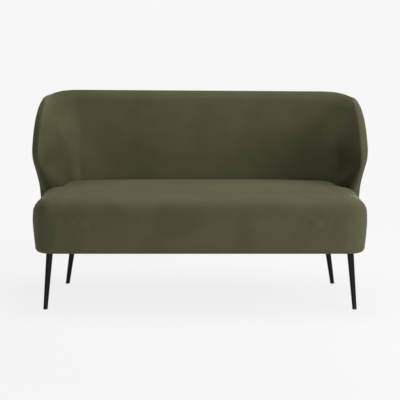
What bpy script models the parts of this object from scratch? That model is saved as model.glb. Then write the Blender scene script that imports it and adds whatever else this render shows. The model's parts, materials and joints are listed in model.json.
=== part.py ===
"""A two-seater sofa with a tight seat, a curved wing back and four splayed metal legs.

Metres, +Z up, the front of the seat towards -Y. The origin lies on the floor under the
middle of the sofa. The upholstery is built as two closed forms, one for the seat and one
for the back. Each form gives its cover, as a skin, and its filling, as a shrunken copy
with room for the frame inside it.
"""

import math

import bmesh
import bpy
from mathutils import Matrix, Vector
from mathutils.geometry import intersect_point_line

# Fits
GAP = 0.0003
OVERRUN = 0.02
FABRIC = 0.002
BENT_FIT = 0.0009

# Levels above the floor
UNDERSIDE_Z = 0.2365
SEAT_EDGE_Z = 0.452
ELBOW_HEIGHT_SHARE = 0.5964
BACK_TOP_Z = 0.846
LEAN_START_Z = 0.40

# Seat
SEAT_HALF_WIDTH = 0.667
SEAT_CROWN = 0.014
SEAT_CROWN_REACH = 0.17
SEAT_DRAFT = 0.014
SEAT_TOP_ROLL = 0.052
SEAT_REAR_ROLL = 0.022
SEAT_BOTTOM_ROLL = 0.026
SEAT_FRONT_CORNER = 0.080
SEAT_NOTCH_SETBACK = 0.0205
SEAT_NOTCH_OUTER = 0.058
SEAT_PAD_THICKNESS = 0.004
LIP_WIDTH = 0.016

# Back
BACK_OVERHANG = 0.023
BACK_REAR_Y = 0.630
BACK_THICKNESS = 0.078
BACK_CORNER = 0.170
BACK_CROWN = 0.008
BACK_CROWN_REACH = 0.10
BACK_LEAN = math.radians(10)
LEAN_BLEND = 0.08
WING_REACH = 0.266
WING_FOOT_REACH = 0.022
BARREL = 0.018
SEAM_ANGLE = math.radians(45)
SEAM_WIDTH = 0.0009
EDGE_FOAM = 0.030
LINER = 0.002
WEBBING = 0.0025
WEBBING_WIDTH = 0.060

# Outline of a wing seen from the side, as shares of its reach and of the rise above or
# below its elbow
UPPER_EDGE_SHARES = ((1.0, 0.16), (0.90, 0.41), (0.70, 0.66), (0.42, 0.84), (0.17, 0.91))
LOWER_EDGE_SHARES = ((0.084, 0.176), (0.090, 0.34), (0.115, 0.505), (0.215, 0.586),
                     (0.42, 0.684), (0.65, 0.78), (0.87, 0.876))
CORNER_RISE_SHARES = (0.994, 0.985, 0.967, 0.942)

# Places where the padded faces are divided so that they can curve, as shares of the half
# width, the depth or the height
SEAT_SLICE_SHARES = (0.15, 0.45, 0.65, 0.80, 0.87)
SEAT_DEPTH_SHARES = (0.16, 0.28, 0.48, 0.70, 0.86, 0.95)
BACK_SLICE_SHARES = (0.5, 0.85)
BACK_ROW_SHARES = (0, 0.20, 0.30, 0.46, 0.66, 0.86, 1)
WING_SLICE_SHARES = (0.35, 0.62, 0.80)

# Timber
RAIL_THICKNESS = 0.020
RAIL_EASING = 0.004
FRONT_RAIL_SETBACK = 0.077
REAR_RAIL_SETBACK = 0.020
SIDE_RAIL_SETBACK = 0.041
RAIL_HEIGHT = 0.108
SEAT_FRAME_INSET = 0.036
BACK_TIMBER = 0.035
BACK_RAIL_DEPTH = 0.055
BACK_POST_WIDTH = 0.045
LEG_BLOCK_LENGTH = 0.100
LEG_BLOCK_WIDTH = 0.095
LEG_BLOCK_HEIGHT = 0.040

# Springs
SPRING_COUNT = 8
SPRING_WIRE = 0.0038
SPRING_LOOPS = 7
SPRING_SPREAD = 0.050
SPRING_TAIL = 0.014
SPRING_MARGIN = 0.075
CURL_START_SHARE = 0.25
CURL_END_SHARE = 0.75
CLIP_STEEL = 0.001
CLIP_LENGTH = 0.012
CLIP_STRIP_MARGIN = 0.030

# Legs
LEG_TOP_RADIUS = 0.0138
LEG_FOOT_RADIUS = 0.0088
LEG_WALL = 0.0016
GLIDE_HEIGHT = 0.006
GLIDE_RADIUS = 0.0094
GLIDE_PLUG_HEIGHT = 0.012
GLIDE_EASING = 0.0015
FRONT_LEG_INSET = 0.0625
FRONT_LEG_Y = 0.108
FRONT_LEG_SPLAY_X = 0.0169
FRONT_LEG_SPLAY_Y = 0.032
REAR_LEG_INSET = 0.143
REAR_LEG_SETBACK = 0.095
REAR_LEG_SPLAY_X = 0.0367
REAR_LEG_SPLAY_Y = 0.033
PLATE_RADIUS = 0.0165
PLATE_STEEL = 0.003
STUD_RADIUS = 0.004
STUD_LENGTH = 0.034
DUST_COVER = 0.0008
DUST_COVER_MARGIN = 0.012

# Bolts between the back frame and the seat frame
BOLT_RADIUS = 0.004
BOLT_HEAD_RADIUS = 0.0065
BOLT_HEAD_HEIGHT = 0.005
BOLT_FLANGE_RADIUS = 0.010
BOLT_FLANGE = 0.0016
TEE_FLANGE_RADIUS = 0.011
TEE_FLANGE = 0.0016
TEE_BARREL_RADIUS = 0.0055
TEE_BARREL_LENGTH = 0.010
BOLT_SETBACK = 0.14

# Counts of segments
CORNER_STEPS = 4
ROLL_STEPS = 4
RIM_STEPS = 4
EDGE_STEPS = 2
STRAPS_PER_BAY = 2
ROUND_SEGMENTS = 20
SMALL_SEGMENTS = 10

# Marks on the two end faces of a closed form
LOW_CAP = 1
HIGH_CAP = 2
INSIDE_RIM = 3
SEAM_BAND = 4
OUTSIDE_RIM = 5
UNDER_FACE = 6

# Sizes that follow from those above
ELBOW_Z = UNDERSIDE_Z + (BACK_TOP_Z - UNDERSIDE_Z) * ELBOW_HEIGHT_SHARE
BACK_HALF_WIDTH = SEAT_HALF_WIDTH + BACK_OVERHANG
BACK_LOWER_RISE = ELBOW_Z - UNDERSIDE_Z
BACK_UPPER_RISE = BACK_TOP_Z - ELBOW_Z
BACK_ROWS = [UNDERSIDE_Z + (BACK_TOP_Z - UNDERSIDE_Z) * share for share in BACK_ROW_SHARES]
RIM_RADIUS = BACK_THICKNESS / 2
CORNER_START = BACK_HALF_WIDTH - BACK_CORNER
CORNER_END = CORNER_START + BACK_CORNER * math.pi / 2
SEAT_NOTCH_Y = BACK_REAR_Y - BACK_CORNER - SEAT_NOTCH_SETBACK
FRONT_RAIL_HALF_LENGTH = SEAT_HALF_WIDTH - FRONT_RAIL_SETBACK
REAR_RAIL_HALF_LENGTH = CORNER_START - REAR_RAIL_SETBACK
FRONT_LEG_X = SEAT_HALF_WIDTH - FRONT_LEG_INSET
FRONT_FOOT_X = FRONT_LEG_X + FRONT_LEG_SPLAY_X
FRONT_FOOT_Y = FRONT_LEG_Y - FRONT_LEG_SPLAY_Y
REAR_LEG_X = BACK_HALF_WIDTH - REAR_LEG_INSET
REAR_LEG_Y = BACK_REAR_Y - REAR_LEG_SETBACK
REAR_FOOT_X = REAR_LEG_X + REAR_LEG_SPLAY_X
REAR_FOOT_Y = REAR_LEG_Y + REAR_LEG_SPLAY_Y
BOLT_SPREAD = CORNER_START - BOLT_SETBACK
LINER_DEPTH = FABRIC + BENT_FIT
FRAME_DEPTH = LINER_DEPTH + LINER + BENT_FIT
FRAME_INNER_DEPTH = FRAME_DEPTH + BACK_TIMBER
FOAM_DEPTH = FRAME_INNER_DEPTH + GAP + WEBBING + GAP
TUCK_DEPTH = FRAME_INNER_DEPTH + GAP
FILLING_INSET = FABRIC + GAP

FRAME_Z = UNDERSIDE_Z + FABRIC + GAP
RAIL_TOP_Z = FRAME_Z + RAIL_HEIGHT
WIRE_Z = RAIL_TOP_Z + GAP + SPRING_WIRE / 2
CLIP_TOP_Z = WIRE_Z + SPRING_WIRE / 2 + GAP + CLIP_STEEL
PAD_Z = CLIP_TOP_Z + GAP
SLAB_Z = PAD_Z + SEAT_PAD_THICKNESS + GAP

DUST_COVER_Z = UNDERSIDE_Z - GAP - DUST_COVER
PLATE_Z = DUST_COVER_Z - GAP - PLATE_STEEL
LEG_TOP_Z = PLATE_Z - GAP

SEAT_REAR_RAIL_Y = BACK_REAR_Y - FRAME_INNER_DEPTH - GAP
SEAT_RAIL_X = SEAT_HALF_WIDTH - SEAT_FRAME_INSET


def lean(height):
    """How far back the upright parts stand at a height."""
    rise = max(height - LEAN_START_Z, 0)
    if rise < LEAN_BLEND:
        return math.tan(BACK_LEAN) * rise ** 2 / (2 * LEAN_BLEND)
    return math.tan(BACK_LEAN) * (rise - LEAN_BLEND / 2)


def side_draw(height):
    """Share of the full width that the back has at a height: widest at the elbow."""
    return 1 - BARREL / BACK_HALF_WIDTH * ((height - ELBOW_Z) / BACK_LOWER_RISE) ** 2


def straight_between_rows(rule, height):
    """A rule for heights, made straight between the rows that divide the back."""
    bands = list(zip(BACK_ROWS, BACK_ROWS[1:]))
    low, high = next((band for band in bands if height < band[1]), bands[-1])
    share = (height - low) / (high - low)
    return rule(low) + share * (rule(high) - rule(low))


# The rearmost points lie where the rounded top edge begins
FRONT_Y = -(BACK_REAR_Y + lean(BACK_TOP_Z - RIM_RADIUS)) / 2

# The part of the seat between the wings keeps clear of the padded inner side of the back
SEAT_REAR_Y = BACK_REAR_Y - BACK_THICKNESS - BACK_CROWN - GAP
SEAT_REAR_HALF_WIDTH = (BACK_HALF_WIDTH - BACK_THICKNESS - BACK_CROWN) * side_draw(SLAB_Z) - GAP
SEAT_REAR_CORNER = BACK_CORNER - BACK_THICKNESS - BACK_CROWN - GAP
SEAT_NOTCH_INNER = SEAT_HALF_WIDTH - SEAT_REAR_HALF_WIDTH - SEAT_NOTCH_OUTER

# Behind the notch the cover is tucked in over the frame, and only its sides go on down
TUCK_X = SEAT_RAIL_X + FILLING_INSET + GAP
TUCK_Y = SEAT_NOTCH_Y - SEAT_NOTCH_OUTER


# Scene and materials

def clear_scene():
    for item in list(bpy.data.objects):
        bpy.data.objects.remove(item, do_unlink=True)


def collection(name):
    made = bpy.data.collections.new(name)
    bpy.context.scene.collection.children.link(made)
    return made


def material(name, color, roughness, metallic=0.0):
    made = bpy.data.materials.new(name)
    made.use_nodes = True
    shader = made.node_tree.nodes["Principled BSDF"]
    shader.inputs["Base Color"].default_value = (*color, 1.0)
    shader.inputs["Roughness"].default_value = roughness
    shader.inputs["Metallic"].default_value = metallic
    return made


clear_scene()
SOFA = collection("two_seater_sofa")
CUTTERS = collection("cutters")

VELVET = material("olive_velvet", (0.085, 0.080, 0.042), 0.85)
FOAM = material("seat_foam", (0.78, 0.72, 0.52), 0.95)
WADDING = material("white_wadding", (0.80, 0.80, 0.78), 1.0)
FELT = material("grey_felt", (0.30, 0.30, 0.29), 1.0)
PINE = material("frame_pine", (0.62, 0.43, 0.24), 0.65)
PLYWOOD = material("frame_plywood", (0.55, 0.40, 0.25), 0.6)
CARD = material("liner_card", (0.45, 0.34, 0.22), 0.9)
NONWOVEN = material("black_nonwoven", (0.02, 0.02, 0.02), 0.95)
RUBBER = material("rubber_webbing", (0.25, 0.21, 0.17), 0.9)
SPRING_STEEL = material("spring_steel", (0.35, 0.35, 0.34), 0.4, 1.0)
ZINC = material("zinc_steel", (0.60, 0.60, 0.58), 0.35, 1.0)
LEG_PAINT = material("black_leg_paint", (0.012, 0.012, 0.013), 0.35)
GLIDE_PLASTIC = material("black_glide_plastic", (0.02, 0.02, 0.02), 0.6)


def keep(name, mesh, finish):
    """Make a named object of a mesh, with its material."""
    made = bpy.data.objects.new(name, mesh)
    mesh.materials.append(finish)
    SOFA.objects.link(made)
    return made


def face_out(bm):
    """Turn the faces of a closed mesh outwards."""
    bmesh.ops.recalc_face_normals(bm, faces=bm.faces)
    if bm.calc_volume(signed=True) < 0:
        bmesh.ops.reverse_faces(bm, faces=bm.faces)


def mesh_from(bm, name, outwards=True):
    if outwards:
        face_out(bm)
    for face in bm.faces:
        face.material_index = 0
    mesh = bpy.data.meshes.new(name)
    bm.to_mesh(mesh)
    bm.free()
    return mesh


def smooth(mesh, angle=math.radians(40)):
    mesh.shade_smooth()
    mesh.set_sharp_from_angle(angle=angle)


def cutter(mesh):
    """An object that only cuts others."""
    made = bpy.data.objects.new(mesh.name, mesh)
    CUTTERS.objects.link(made)
    made.hide_render = True
    made.display_type = "WIRE"
    return made


def cut(target, *tools):
    for tool in tools:
        step = target.modifiers.new("cut_" + tool.name, "BOOLEAN")
        step.operation = "DIFFERENCE"
        step.object = tool


# Simple shapes

def box_mesh(name, low, high, bevel=0.0):
    """A box between two corners, its edges rounded by a bevel."""
    bm = bmesh.new()
    bmesh.ops.create_cube(bm, size=1.0)
    low, high = Vector(low), Vector(high)
    for vert in bm.verts:
        for axis in range(3):
            share = vert.co[axis] + 0.5
            vert.co[axis] = low[axis] + share * (high[axis] - low[axis])
    if bevel:
        bmesh.ops.bevel(bm, geom=bm.edges[:], offset=bevel, segments=1, affect="EDGES")
    return mesh_from(bm, name)


def mirrored(low, high, side):
    """The corners of a box, moved to one side of the middle plane."""
    if side > 0:
        return low, high
    return (-high[0], *low[1:]), (-low[0], *high[1:])


def sided(name, side):
    return name + ("_right" if side > 0 else "_left")


def prism_mesh(name, points, low, high):
    """An upright prism on a plan outline."""
    bm = bmesh.new()
    base = bm.faces.new([bm.verts.new((x, y, low)) for x, y in points])
    moved = bmesh.ops.extrude_face_region(bm, geom=[base])
    tops = [item for item in moved["geom"] if isinstance(item, bmesh.types.BMVert)]
    bmesh.ops.translate(bm, verts=tops, vec=Vector((0, 0, high - low)))
    return mesh_from(bm, name)


def turned_mesh(name, profile, segments):
    """A turned piece round +Z from its outline, radius and height, down its outer side."""
    outline = bpy.data.meshes.new(name)
    points = [(radius, 0, height) for radius, height in profile]
    outline.from_pydata(points, [(i, i + 1) for i in range(len(points) - 1)], [])
    blank = bpy.data.objects.new(name, outline)
    SOFA.objects.link(blank)
    turn = blank.modifiers.new("turn", "SCREW")
    turn.steps = turn.render_steps = segments
    turn.use_merge_vertices = True
    turn.merge_threshold = GAP / 10
    mesh = solid_mesh(blank)
    bpy.data.objects.remove(blank)
    return mesh


def solid_mesh(source):
    """The mesh that an object's modifiers or curve make."""
    view = bpy.context.evaluated_depsgraph_get()
    return bpy.data.meshes.new_from_object(source.evaluated_get(view))


def joined_mesh(name, mesh, places):
    """Copies of one mesh at several places, as separate solids."""
    bm = bmesh.new()
    for place in places:
        known = len(bm.verts)
        bm.from_mesh(mesh)
        bm.verts.ensure_lookup_table()
        bmesh.ops.transform(bm, matrix=place, verts=bm.verts[known:])
    return mesh_from(bm, name, outwards=False)


# Outlines

def moved_in(points, insets):
    """A closed outline moved inwards, each corner by its own inset."""
    moved = []
    for i, here in enumerate(points):
        before = (here - points[i - 1]).normalized()
        after = (points[(i + 1) % len(points)] - here).normalized()
        inward = Vector((-before.y, before.x)) + Vector((-after.y, after.x))
        moved.append(here + inward * insets[i] * 2 / inward.length_squared)
    return moved


def arc(center, radius, start, end, steps=CORNER_STEPS):
    """Points of a plan arc; angles are in quarter turns from +X."""
    points = []
    for i in range(steps + 1):
        angle = math.pi / 2 * (start + (end - start) * i / steps)
        points.append(Vector((center[0] + radius * math.cos(angle),
                              center[1] + radius * math.sin(angle))))
    return points


def both_sides(half):
    """A closed outline, anticlockwise, from its right half, listed from its lowest Y."""
    half = [point for i, point in enumerate(half)
            if i == 0 or (point - half[i - 1]).length > GAP]
    left = [Vector((-point.x, point.y)) for point in reversed(half)]
    return half + left


def curved_through(points, steps):
    """A smooth open line through points, by Catmull-Rom."""
    line = []
    for i in range(len(points) - 1):
        before = points[max(i - 1, 0)]
        start, end = points[i], points[i + 1]
        after = points[min(i + 2, len(points) - 1)]
        for k in range(steps):
            t = k / steps
            line.append((start * 2 + (end - before) * t
                         + (before * 2 - start * 5 + end * 4 - after) * t ** 2
                         + (start * 3 - before - end * 3 + after) * t ** 3) / 2)
    return line + [points[-1]]


def distance_to(point, outline):
    """Distance from a point to the nearest side of a closed outline."""
    nearest = math.inf
    for i, start in enumerate(outline):
        end = outline[(i + 1) % len(outline)]
        foot, share = intersect_point_line(point, start, end)
        foot = start.lerp(end, min(max(share, 0), 1)).to_3d()
        nearest = min(nearest, (foot.xy - point).length)
    return nearest


def crown(distance, reach):
    """Share of a padded rise at a distance from its edge: steep first, then level."""
    share = min(distance / reach, 1)
    return share * (2 - share)


# Closed forms of the upholstery

def ringed_form(rings):
    """A closed form from a stack of rings of equal length, capped at both ends."""
    bm = bmesh.new()
    levels = [[bm.verts.new(point) for point in ring] for ring in rings]
    for low, high in zip(levels, levels[1:]):
        for i in range(len(low)):
            k = (i + 1) % len(low)
            bm.faces.new((low[i], low[k], high[k], high[i]))
    bm.faces.new(reversed(levels[0])).material_index = LOW_CAP
    bm.faces.new(levels[-1]).material_index = HIGH_CAP
    return bm


def sliced(bm, axis, places, within=None):
    """Cut faces across an axis at each place, so that they can bend there."""
    normal = Vector((0, 0, 0))
    normal[axis] = 1
    for place in places:
        faces = [face for face in bm.faces if within is None or within(face)]
        edges = {edge for face in faces for edge in face.edges}
        verts = {vert for face in faces for vert in face.verts}
        bmesh.ops.bisect_plane(bm, geom=[*verts, *edges, *faces], dist=GAP / 10,
                               plane_co=normal * place, plane_no=normal)


def shrunk(source, inset):
    """A copy of a closed form, its surface moved inwards."""
    bm = source.copy()
    bm.normal_update()
    steps = [(vert, vert.normal * -inset * vert.calc_shell_factor()) for vert in bm.verts]
    for vert, step in steps:
        vert.co += step
    return bm


def trimmed(bm, point, normal):
    """Cut a closed form at a plane, drop what lies beyond and close the cut."""
    whole = [*bm.verts, *bm.edges, *bm.faces]
    done = bmesh.ops.bisect_plane(bm, geom=whole, dist=GAP / 10, plane_co=Vector(point),
                                  plane_no=Vector(normal), clear_outer=True)
    rim = [item for item in done["geom_cut"] if isinstance(item, bmesh.types.BMEdge)]
    bmesh.ops.triangle_fill(bm, use_beauty=True, edges=rim)
    return bm


def skin(name, source, keeps):
    """The fabric over those faces of a form that keeps() picks, as a closed sheet."""
    core = shrunk(source, FABRIC)
    backs = [vert.co.copy() for vert in core.verts]
    core.free()
    bm = source.copy()
    place = bm.verts.layers.int.new("place")
    for i, vert in enumerate(bm.verts):
        vert[place] = i
    dropped = [face for face in bm.faces if not keeps(face)]
    bmesh.ops.delete(bm, geom=dropped, context="FACES")
    sheet = bmesh.ops.extrude_face_region(bm, geom=bm.faces[:], use_keep_orig=True)
    for item in sheet["geom"]:
        if isinstance(item, bmesh.types.BMVert):
            item.co = backs[item[place]]
    cover = keep(name, mesh_from(bm, name), VELVET)
    cover.data.shade_smooth()


# The seat

def seat_plan():
    """The seat from above, and the radius of its top roll at each point."""
    wide, narrow = SEAT_HALF_WIDTH, SEAT_REAR_HALF_WIDTH
    front, outer, inner, rear = (SEAT_FRONT_CORNER, SEAT_NOTCH_OUTER, SEAT_NOTCH_INNER,
                                 SEAT_REAR_CORNER)
    block = arc((wide - front, front), front, -1, 0)
    block += arc((wide - outer, SEAT_NOTCH_Y - outer), outer, 0, 1)
    notch = arc((narrow + inner, SEAT_NOTCH_Y + inner), inner, 3, 2, steps=2)
    corner = arc((narrow - rear, SEAT_REAR_Y - rear), rear, 0, 1)
    places = [point + Vector((0, FRONT_Y)) for point in both_sides(block + notch + corner)]
    rear_starts = FRONT_Y + SEAT_NOTCH_Y + GAP
    rolls = [SEAT_TOP_ROLL if point.y < rear_starts else SEAT_REAR_ROLL for point in places]
    return places, rolls


def seat_form():
    """The whole upholstered seat as one closed form with a crowned top."""
    outline, rolls = seat_plan()
    count = len(outline)
    rings = []

    def ring(insets, heights):
        rings.append([point.to_3d() + Vector((0, 0, height))
                      for point, height in zip(moved_in(outline, insets), heights)])

    lip = SEAT_DRAFT + SEAT_BOTTOM_ROLL + LIP_WIDTH
    ring([lip] * count, [UNDERSIDE_Z] * count)
    for i in range(ROLL_STEPS):
        angle = math.pi / 2 * i / (ROLL_STEPS - 1)
        inset = SEAT_DRAFT + SEAT_BOTTOM_ROLL * (1 - math.sin(angle))
        ring([inset] * count, [UNDERSIDE_Z + SEAT_BOTTOM_ROLL * (1 - math.cos(angle))] * count)
    for i in range(ROLL_STEPS + 1):
        angle = math.pi / 2 * i / ROLL_STEPS
        ring([roll * (1 - math.cos(angle)) for roll in rolls],
             [SEAT_EDGE_Z - roll * (1 - math.sin(angle)) for roll in rolls])

    bm = ringed_form(rings)
    edge = moved_in(outline, rolls)
    across = [SEAT_HALF_WIDTH * share for share in SEAT_SLICE_SHARES]
    back = [FRONT_Y + SEAT_REAR_Y * share for share in SEAT_DEPTH_SHARES]

    def on_top(face):
        return all(vert.co.z > SEAT_EDGE_Z - GAP for vert in face.verts)

    sliced(bm, 0, [side * place for place in across for side in (-1, 1)], on_top)
    sliced(bm, 1, back, on_top)
    sliced(bm, 0, [-TUCK_X, TUCK_X])
    sliced(bm, 1, [FRONT_Y + TUCK_Y])
    sliced(bm, 2, [SLAB_Z])
    bmesh.ops.remove_doubles(bm, verts=bm.verts, dist=GAP / 2)
    bmesh.ops.triangulate(bm, faces=bm.faces)
    for vert in bm.verts:
        if vert.co.z > SEAT_EDGE_Z - GAP:
            share = crown(distance_to(vert.co.xy, edge), SEAT_CROWN_REACH)
            vert.co.z += SEAT_CROWN * share
    face_out(bm)
    return bm


def make_seat_upholstery():
    form = seat_form()

    def covered(face):
        """The top, the walls of the wide front part and the lip under its edge."""
        middle = face.calc_center_median()
        beside_frame = middle.y < FRONT_Y + TUCK_Y or abs(middle.x) > TUCK_X
        return middle.z > SLAB_Z or (beside_frame and face.material_index != LOW_CAP)

    skin("seat_cover", form, covered)

    slab = trimmed(shrunk(form, FILLING_INSET), (0, 0, SLAB_Z), (0, 0, -1))
    foam = keep("seat_foam", mesh_from(slab, "seat_foam"), FOAM)
    foam.data.shade_smooth()

    lower = trimmed(shrunk(form, FILLING_INSET), (0, 0, SLAB_Z - GAP), (0, 0, 1))
    wadding = keep("seat_wadding", mesh_from(lower, "seat_wadding"), WADDING)
    room = box_mesh("seat_frame_room",
                    (-SEAT_RAIL_X - GAP, FRONT_Y + SEAT_FRAME_INSET - GAP, 0),
                    (SEAT_RAIL_X + GAP, FRONT_Y + BACK_REAR_Y, SLAB_Z + OVERRUN))
    cut(wadding, cutter(room))
    form.free()


def make_seat_frame():
    front = FRONT_Y + SEAT_FRAME_INSET
    rear = FRONT_Y + SEAT_REAR_RAIL_Y
    inner_x = SEAT_RAIL_X - RAIL_THICKNESS
    side_end = FRONT_Y + BACK_REAR_Y - BACK_CORNER
    levels = (FRAME_Z, RAIL_TOP_Z)

    def rail(name, low, high):
        mesh = box_mesh(name, (*low, levels[0]), (*high, levels[1]), bevel=RAIL_EASING)
        return keep(name, mesh, PINE)

    rail("seat_front_rail", (-FRONT_RAIL_HALF_LENGTH, front),
         (FRONT_RAIL_HALF_LENGTH, front + RAIL_THICKNESS))
    rear_rail = rail("seat_rear_rail", (-REAR_RAIL_HALF_LENGTH, rear - RAIL_THICKNESS),
                     (REAR_RAIL_HALF_LENGTH, rear))
    for side in (-1, 1):
        low, high = mirrored((inner_x, front + SIDE_RAIL_SETBACK, levels[0]),
                             (SEAT_RAIL_X, side_end, levels[1]), side)
        rail(sided("seat_side_rail", side), low[:2], high[:2])
    rail("seat_centre_rail", (-RAIL_THICKNESS / 2, front + RAIL_THICKNESS + GAP),
         (RAIL_THICKNESS / 2, rear - RAIL_THICKNESS - GAP))
    cut(rear_rail, bolt_holes("rear_rail_holes", BOLT_RADIUS + GAP, rear,
                              -RAIL_THICKNESS - OVERRUN, OVERRUN))
    make_leg_blocks(inner_x - GAP, front + RAIL_THICKNESS + GAP,
                    side_end + RAIL_THICKNESS * 2, rear - RAIL_THICKNESS - GAP)


def make_leg_blocks(outer_x, front, side_end, rear):
    """Blocks glued into the corners of the frame, which take the leg screws."""
    top = FRAME_Z + LEG_BLOCK_HEIGHT
    for side in (-1, 1):
        low, high = mirrored((outer_x - LEG_BLOCK_LENGTH, front, FRAME_Z),
                             (outer_x, front + LEG_BLOCK_WIDTH, top), side)
        name = sided("front_leg_block", side)
        block = keep(name, box_mesh(name, low, high, bevel=RAIL_EASING), PINE)
        cut(block, stud_hole(name, side * FRONT_LEG_X, FRONT_Y + FRONT_LEG_Y))

        name = sided("rear_leg_block", side)
        inner_x = REAR_RAIL_HALF_LENGTH - RAIL_THICKNESS
        chamfer_x = REAR_RAIL_HALF_LENGTH + (rear - side_end)
        plan = [(inner_x, rear - LEG_BLOCK_WIDTH), (outer_x, rear - LEG_BLOCK_WIDTH),
                (outer_x, side_end), (chamfer_x, rear), (inner_x, rear)]
        plan = [(side * x, y) for x, y in plan]
        block = keep(name, prism_mesh(name, plan, FRAME_Z, top), PINE)
        cut(block, stud_hole(name, side * REAR_LEG_X, FRONT_Y + REAR_LEG_Y))


def spring_places():
    span = 2 * (SEAT_RAIL_X - SPRING_MARGIN)
    return [-span / 2 + span * i / (SPRING_COUNT - 1) for i in range(SPRING_COUNT)]


def wire(name, points, radius):
    """A round wire through points, with closed ends."""
    curve = bpy.data.curves.new(name, "CURVE")
    curve.dimensions = "3D"
    curve.bevel_depth = radius
    curve.bevel_resolution = 1
    curve.use_fill_caps = True
    path = curve.splines.new("POLY")
    path.points.add(len(points) - 1)
    for item, point in zip(path.points, points):
        item.co = (*point, 1)
    return keep(name, curve, SPRING_STEEL)


def make_springs():
    """Zigzag springs between the front and rear rails, their ends held by grooved strips."""
    front = FRONT_Y + SEAT_FRAME_INSET + (RAIL_THICKNESS - SPRING_TAIL) / 2
    rear = FRONT_Y + SEAT_REAR_RAIL_Y - (RAIL_THICKNESS - SPRING_TAIL) / 2
    start, end = front + SPRING_TAIL, rear - SPRING_TAIL
    step = (end - start) / (2 * SPRING_LOOPS)
    for number, x in enumerate(spring_places(), 1):
        points = [(x, front, WIRE_Z), (x, start, WIRE_Z)]
        for i in range(2 * SPRING_LOOPS):
            reach = SPRING_SPREAD / 2 * (1 if i % 2 else -1)
            points.append((x + reach, start + step * (i + CURL_START_SHARE), WIRE_Z))
            points.append((x + reach, start + step * (i + CURL_END_SHARE), WIRE_Z))
        points += [(x, end, WIRE_Z), (x, rear, WIRE_Z)]
        wire(f"seat_spring_{number}", points, SPRING_WIRE / 2)

    length = spring_places()[-1] + CLIP_STRIP_MARGIN
    high = CLIP_TOP_Z
    half = SPRING_WIRE / 2 + GAP
    for name, y in (("front_clip_strip", front), ("rear_clip_strip", rear - SPRING_TAIL)):
        middle = y + SPRING_TAIL / 2
        ends = (middle - CLIP_LENGTH / 2, middle + CLIP_LENGTH / 2)
        strip = keep(name, box_mesh(name, (-length, ends[0], RAIL_TOP_Z + GAP),
                                    (length, ends[1], high)), ZINC)
        groove = box_mesh(name + "_grooves", (-half, ends[0] - OVERRUN, RAIL_TOP_Z - OVERRUN),
                          (half, ends[1] + OVERRUN, high - CLIP_STEEL))
        places = [Matrix.Translation((x, 0, 0)) for x in spring_places()]
        cut(strip, cutter(joined_mesh(name + "_grooves", groove, places)))


def make_spring_pad():
    """A felt sheet over the springs, under the foam."""
    low = (-SEAT_REAR_HALF_WIDTH + GAP, FRONT_Y + SEAT_FRAME_INSET, PAD_Z)
    high = (SEAT_REAR_HALF_WIDTH - GAP, FRONT_Y + BACK_REAR_Y - BACK_CORNER,
            PAD_Z + SEAT_PAD_THICKNESS)
    keep("spring_pad", box_mesh("spring_pad", low, high), FELT)


# The back, laid out flat: along its outer face, in from that face, and up

def wrapped(flat):
    """Bend a flat point of the back round the rear and the wings, and lean it back.

    The corners bend only at their slices and are flat between them.
    """
    along, depth, height = flat
    run = abs(along)
    center_y = BACK_REAR_Y - BACK_CORNER
    if run < CORNER_START:
        x, y = run, BACK_REAR_Y - depth
    elif run < CORNER_END:
        steps = (run - CORNER_START) / (CORNER_END - CORNER_START) * CORNER_STEPS
        flat_start = math.floor(steps)
        share = steps - flat_start
        turns = [math.pi / 2 * (flat_start + i) / CORNER_STEPS for i in (0, 1)]
        sine, cosine = ((1 - share) * rule(turns[0]) + share * rule(turns[1])
                        for rule in (math.sin, math.cos))
        x = CORNER_START + (BACK_CORNER - depth) * sine
        y = center_y + (BACK_CORNER - depth) * cosine
    else:
        x, y = BACK_HALF_WIDTH - depth, center_y - (run - CORNER_END)
    x = math.copysign(x, along) * straight_between_rows(side_draw, height)
    return Vector((x, FRONT_Y + y + straight_between_rows(lean, height), height))


def corner_slices():
    """Places along the back where its corners bend, on both sides."""
    arc_length = CORNER_END - CORNER_START
    runs = [CORNER_START + arc_length * i / CORNER_STEPS for i in range(CORNER_STEPS + 1)]
    return [side * run for run in runs for side in (-1, 1)]


def wrap(bm):
    for vert in bm.verts:
        vert.co = wrapped(vert.co)
    face_out(bm)
    return bm


def back_outline():
    """The flat outline of the back: along and up, with its foot below the underside."""
    foot = [Vector((CORNER_END + WING_FOOT_REACH, height))
            for height in (UNDERSIDE_Z - BACK_THICKNESS, UNDERSIDE_Z)]
    lower = [Vector((CORNER_END + WING_REACH * reach, UNDERSIDE_Z + BACK_LOWER_RISE * rise))
             for reach, rise in LOWER_EDGE_SHARES]
    nose = Vector((CORNER_END + WING_REACH, ELBOW_Z))
    upper = [Vector((CORNER_END + WING_REACH * reach, ELBOW_Z + BACK_UPPER_RISE * rise))
             for reach, rise in UPPER_EDGE_SHARES]
    arc_length = CORNER_END - CORNER_START
    steps = len(CORNER_RISE_SHARES)
    corner = [Vector((CORNER_START + arc_length * (steps - 1 - i) / steps,
                      ELBOW_Z + BACK_UPPER_RISE * rise))
              for i, rise in enumerate(reversed(CORNER_RISE_SHARES))]
    edge = curved_through([foot[1], *lower, nose, *upper], EDGE_STEPS)
    top = [Vector((CORNER_START * BACK_SLICE_SHARES[-1], BACK_TOP_Z))]
    return both_sides([foot[0], *edge, *corner, *top])


def rim_ring(outline, angle):
    """The outline carried round the rounded edge, from the outer face to the inner."""
    inset = RIM_RADIUS * (1 - math.sin(angle))
    depth = RIM_RADIUS * (1 - math.cos(angle))
    moved = moved_in(outline, [inset] * len(outline))
    return [Vector((point.x, depth, point.y)) for point in moved]


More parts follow.
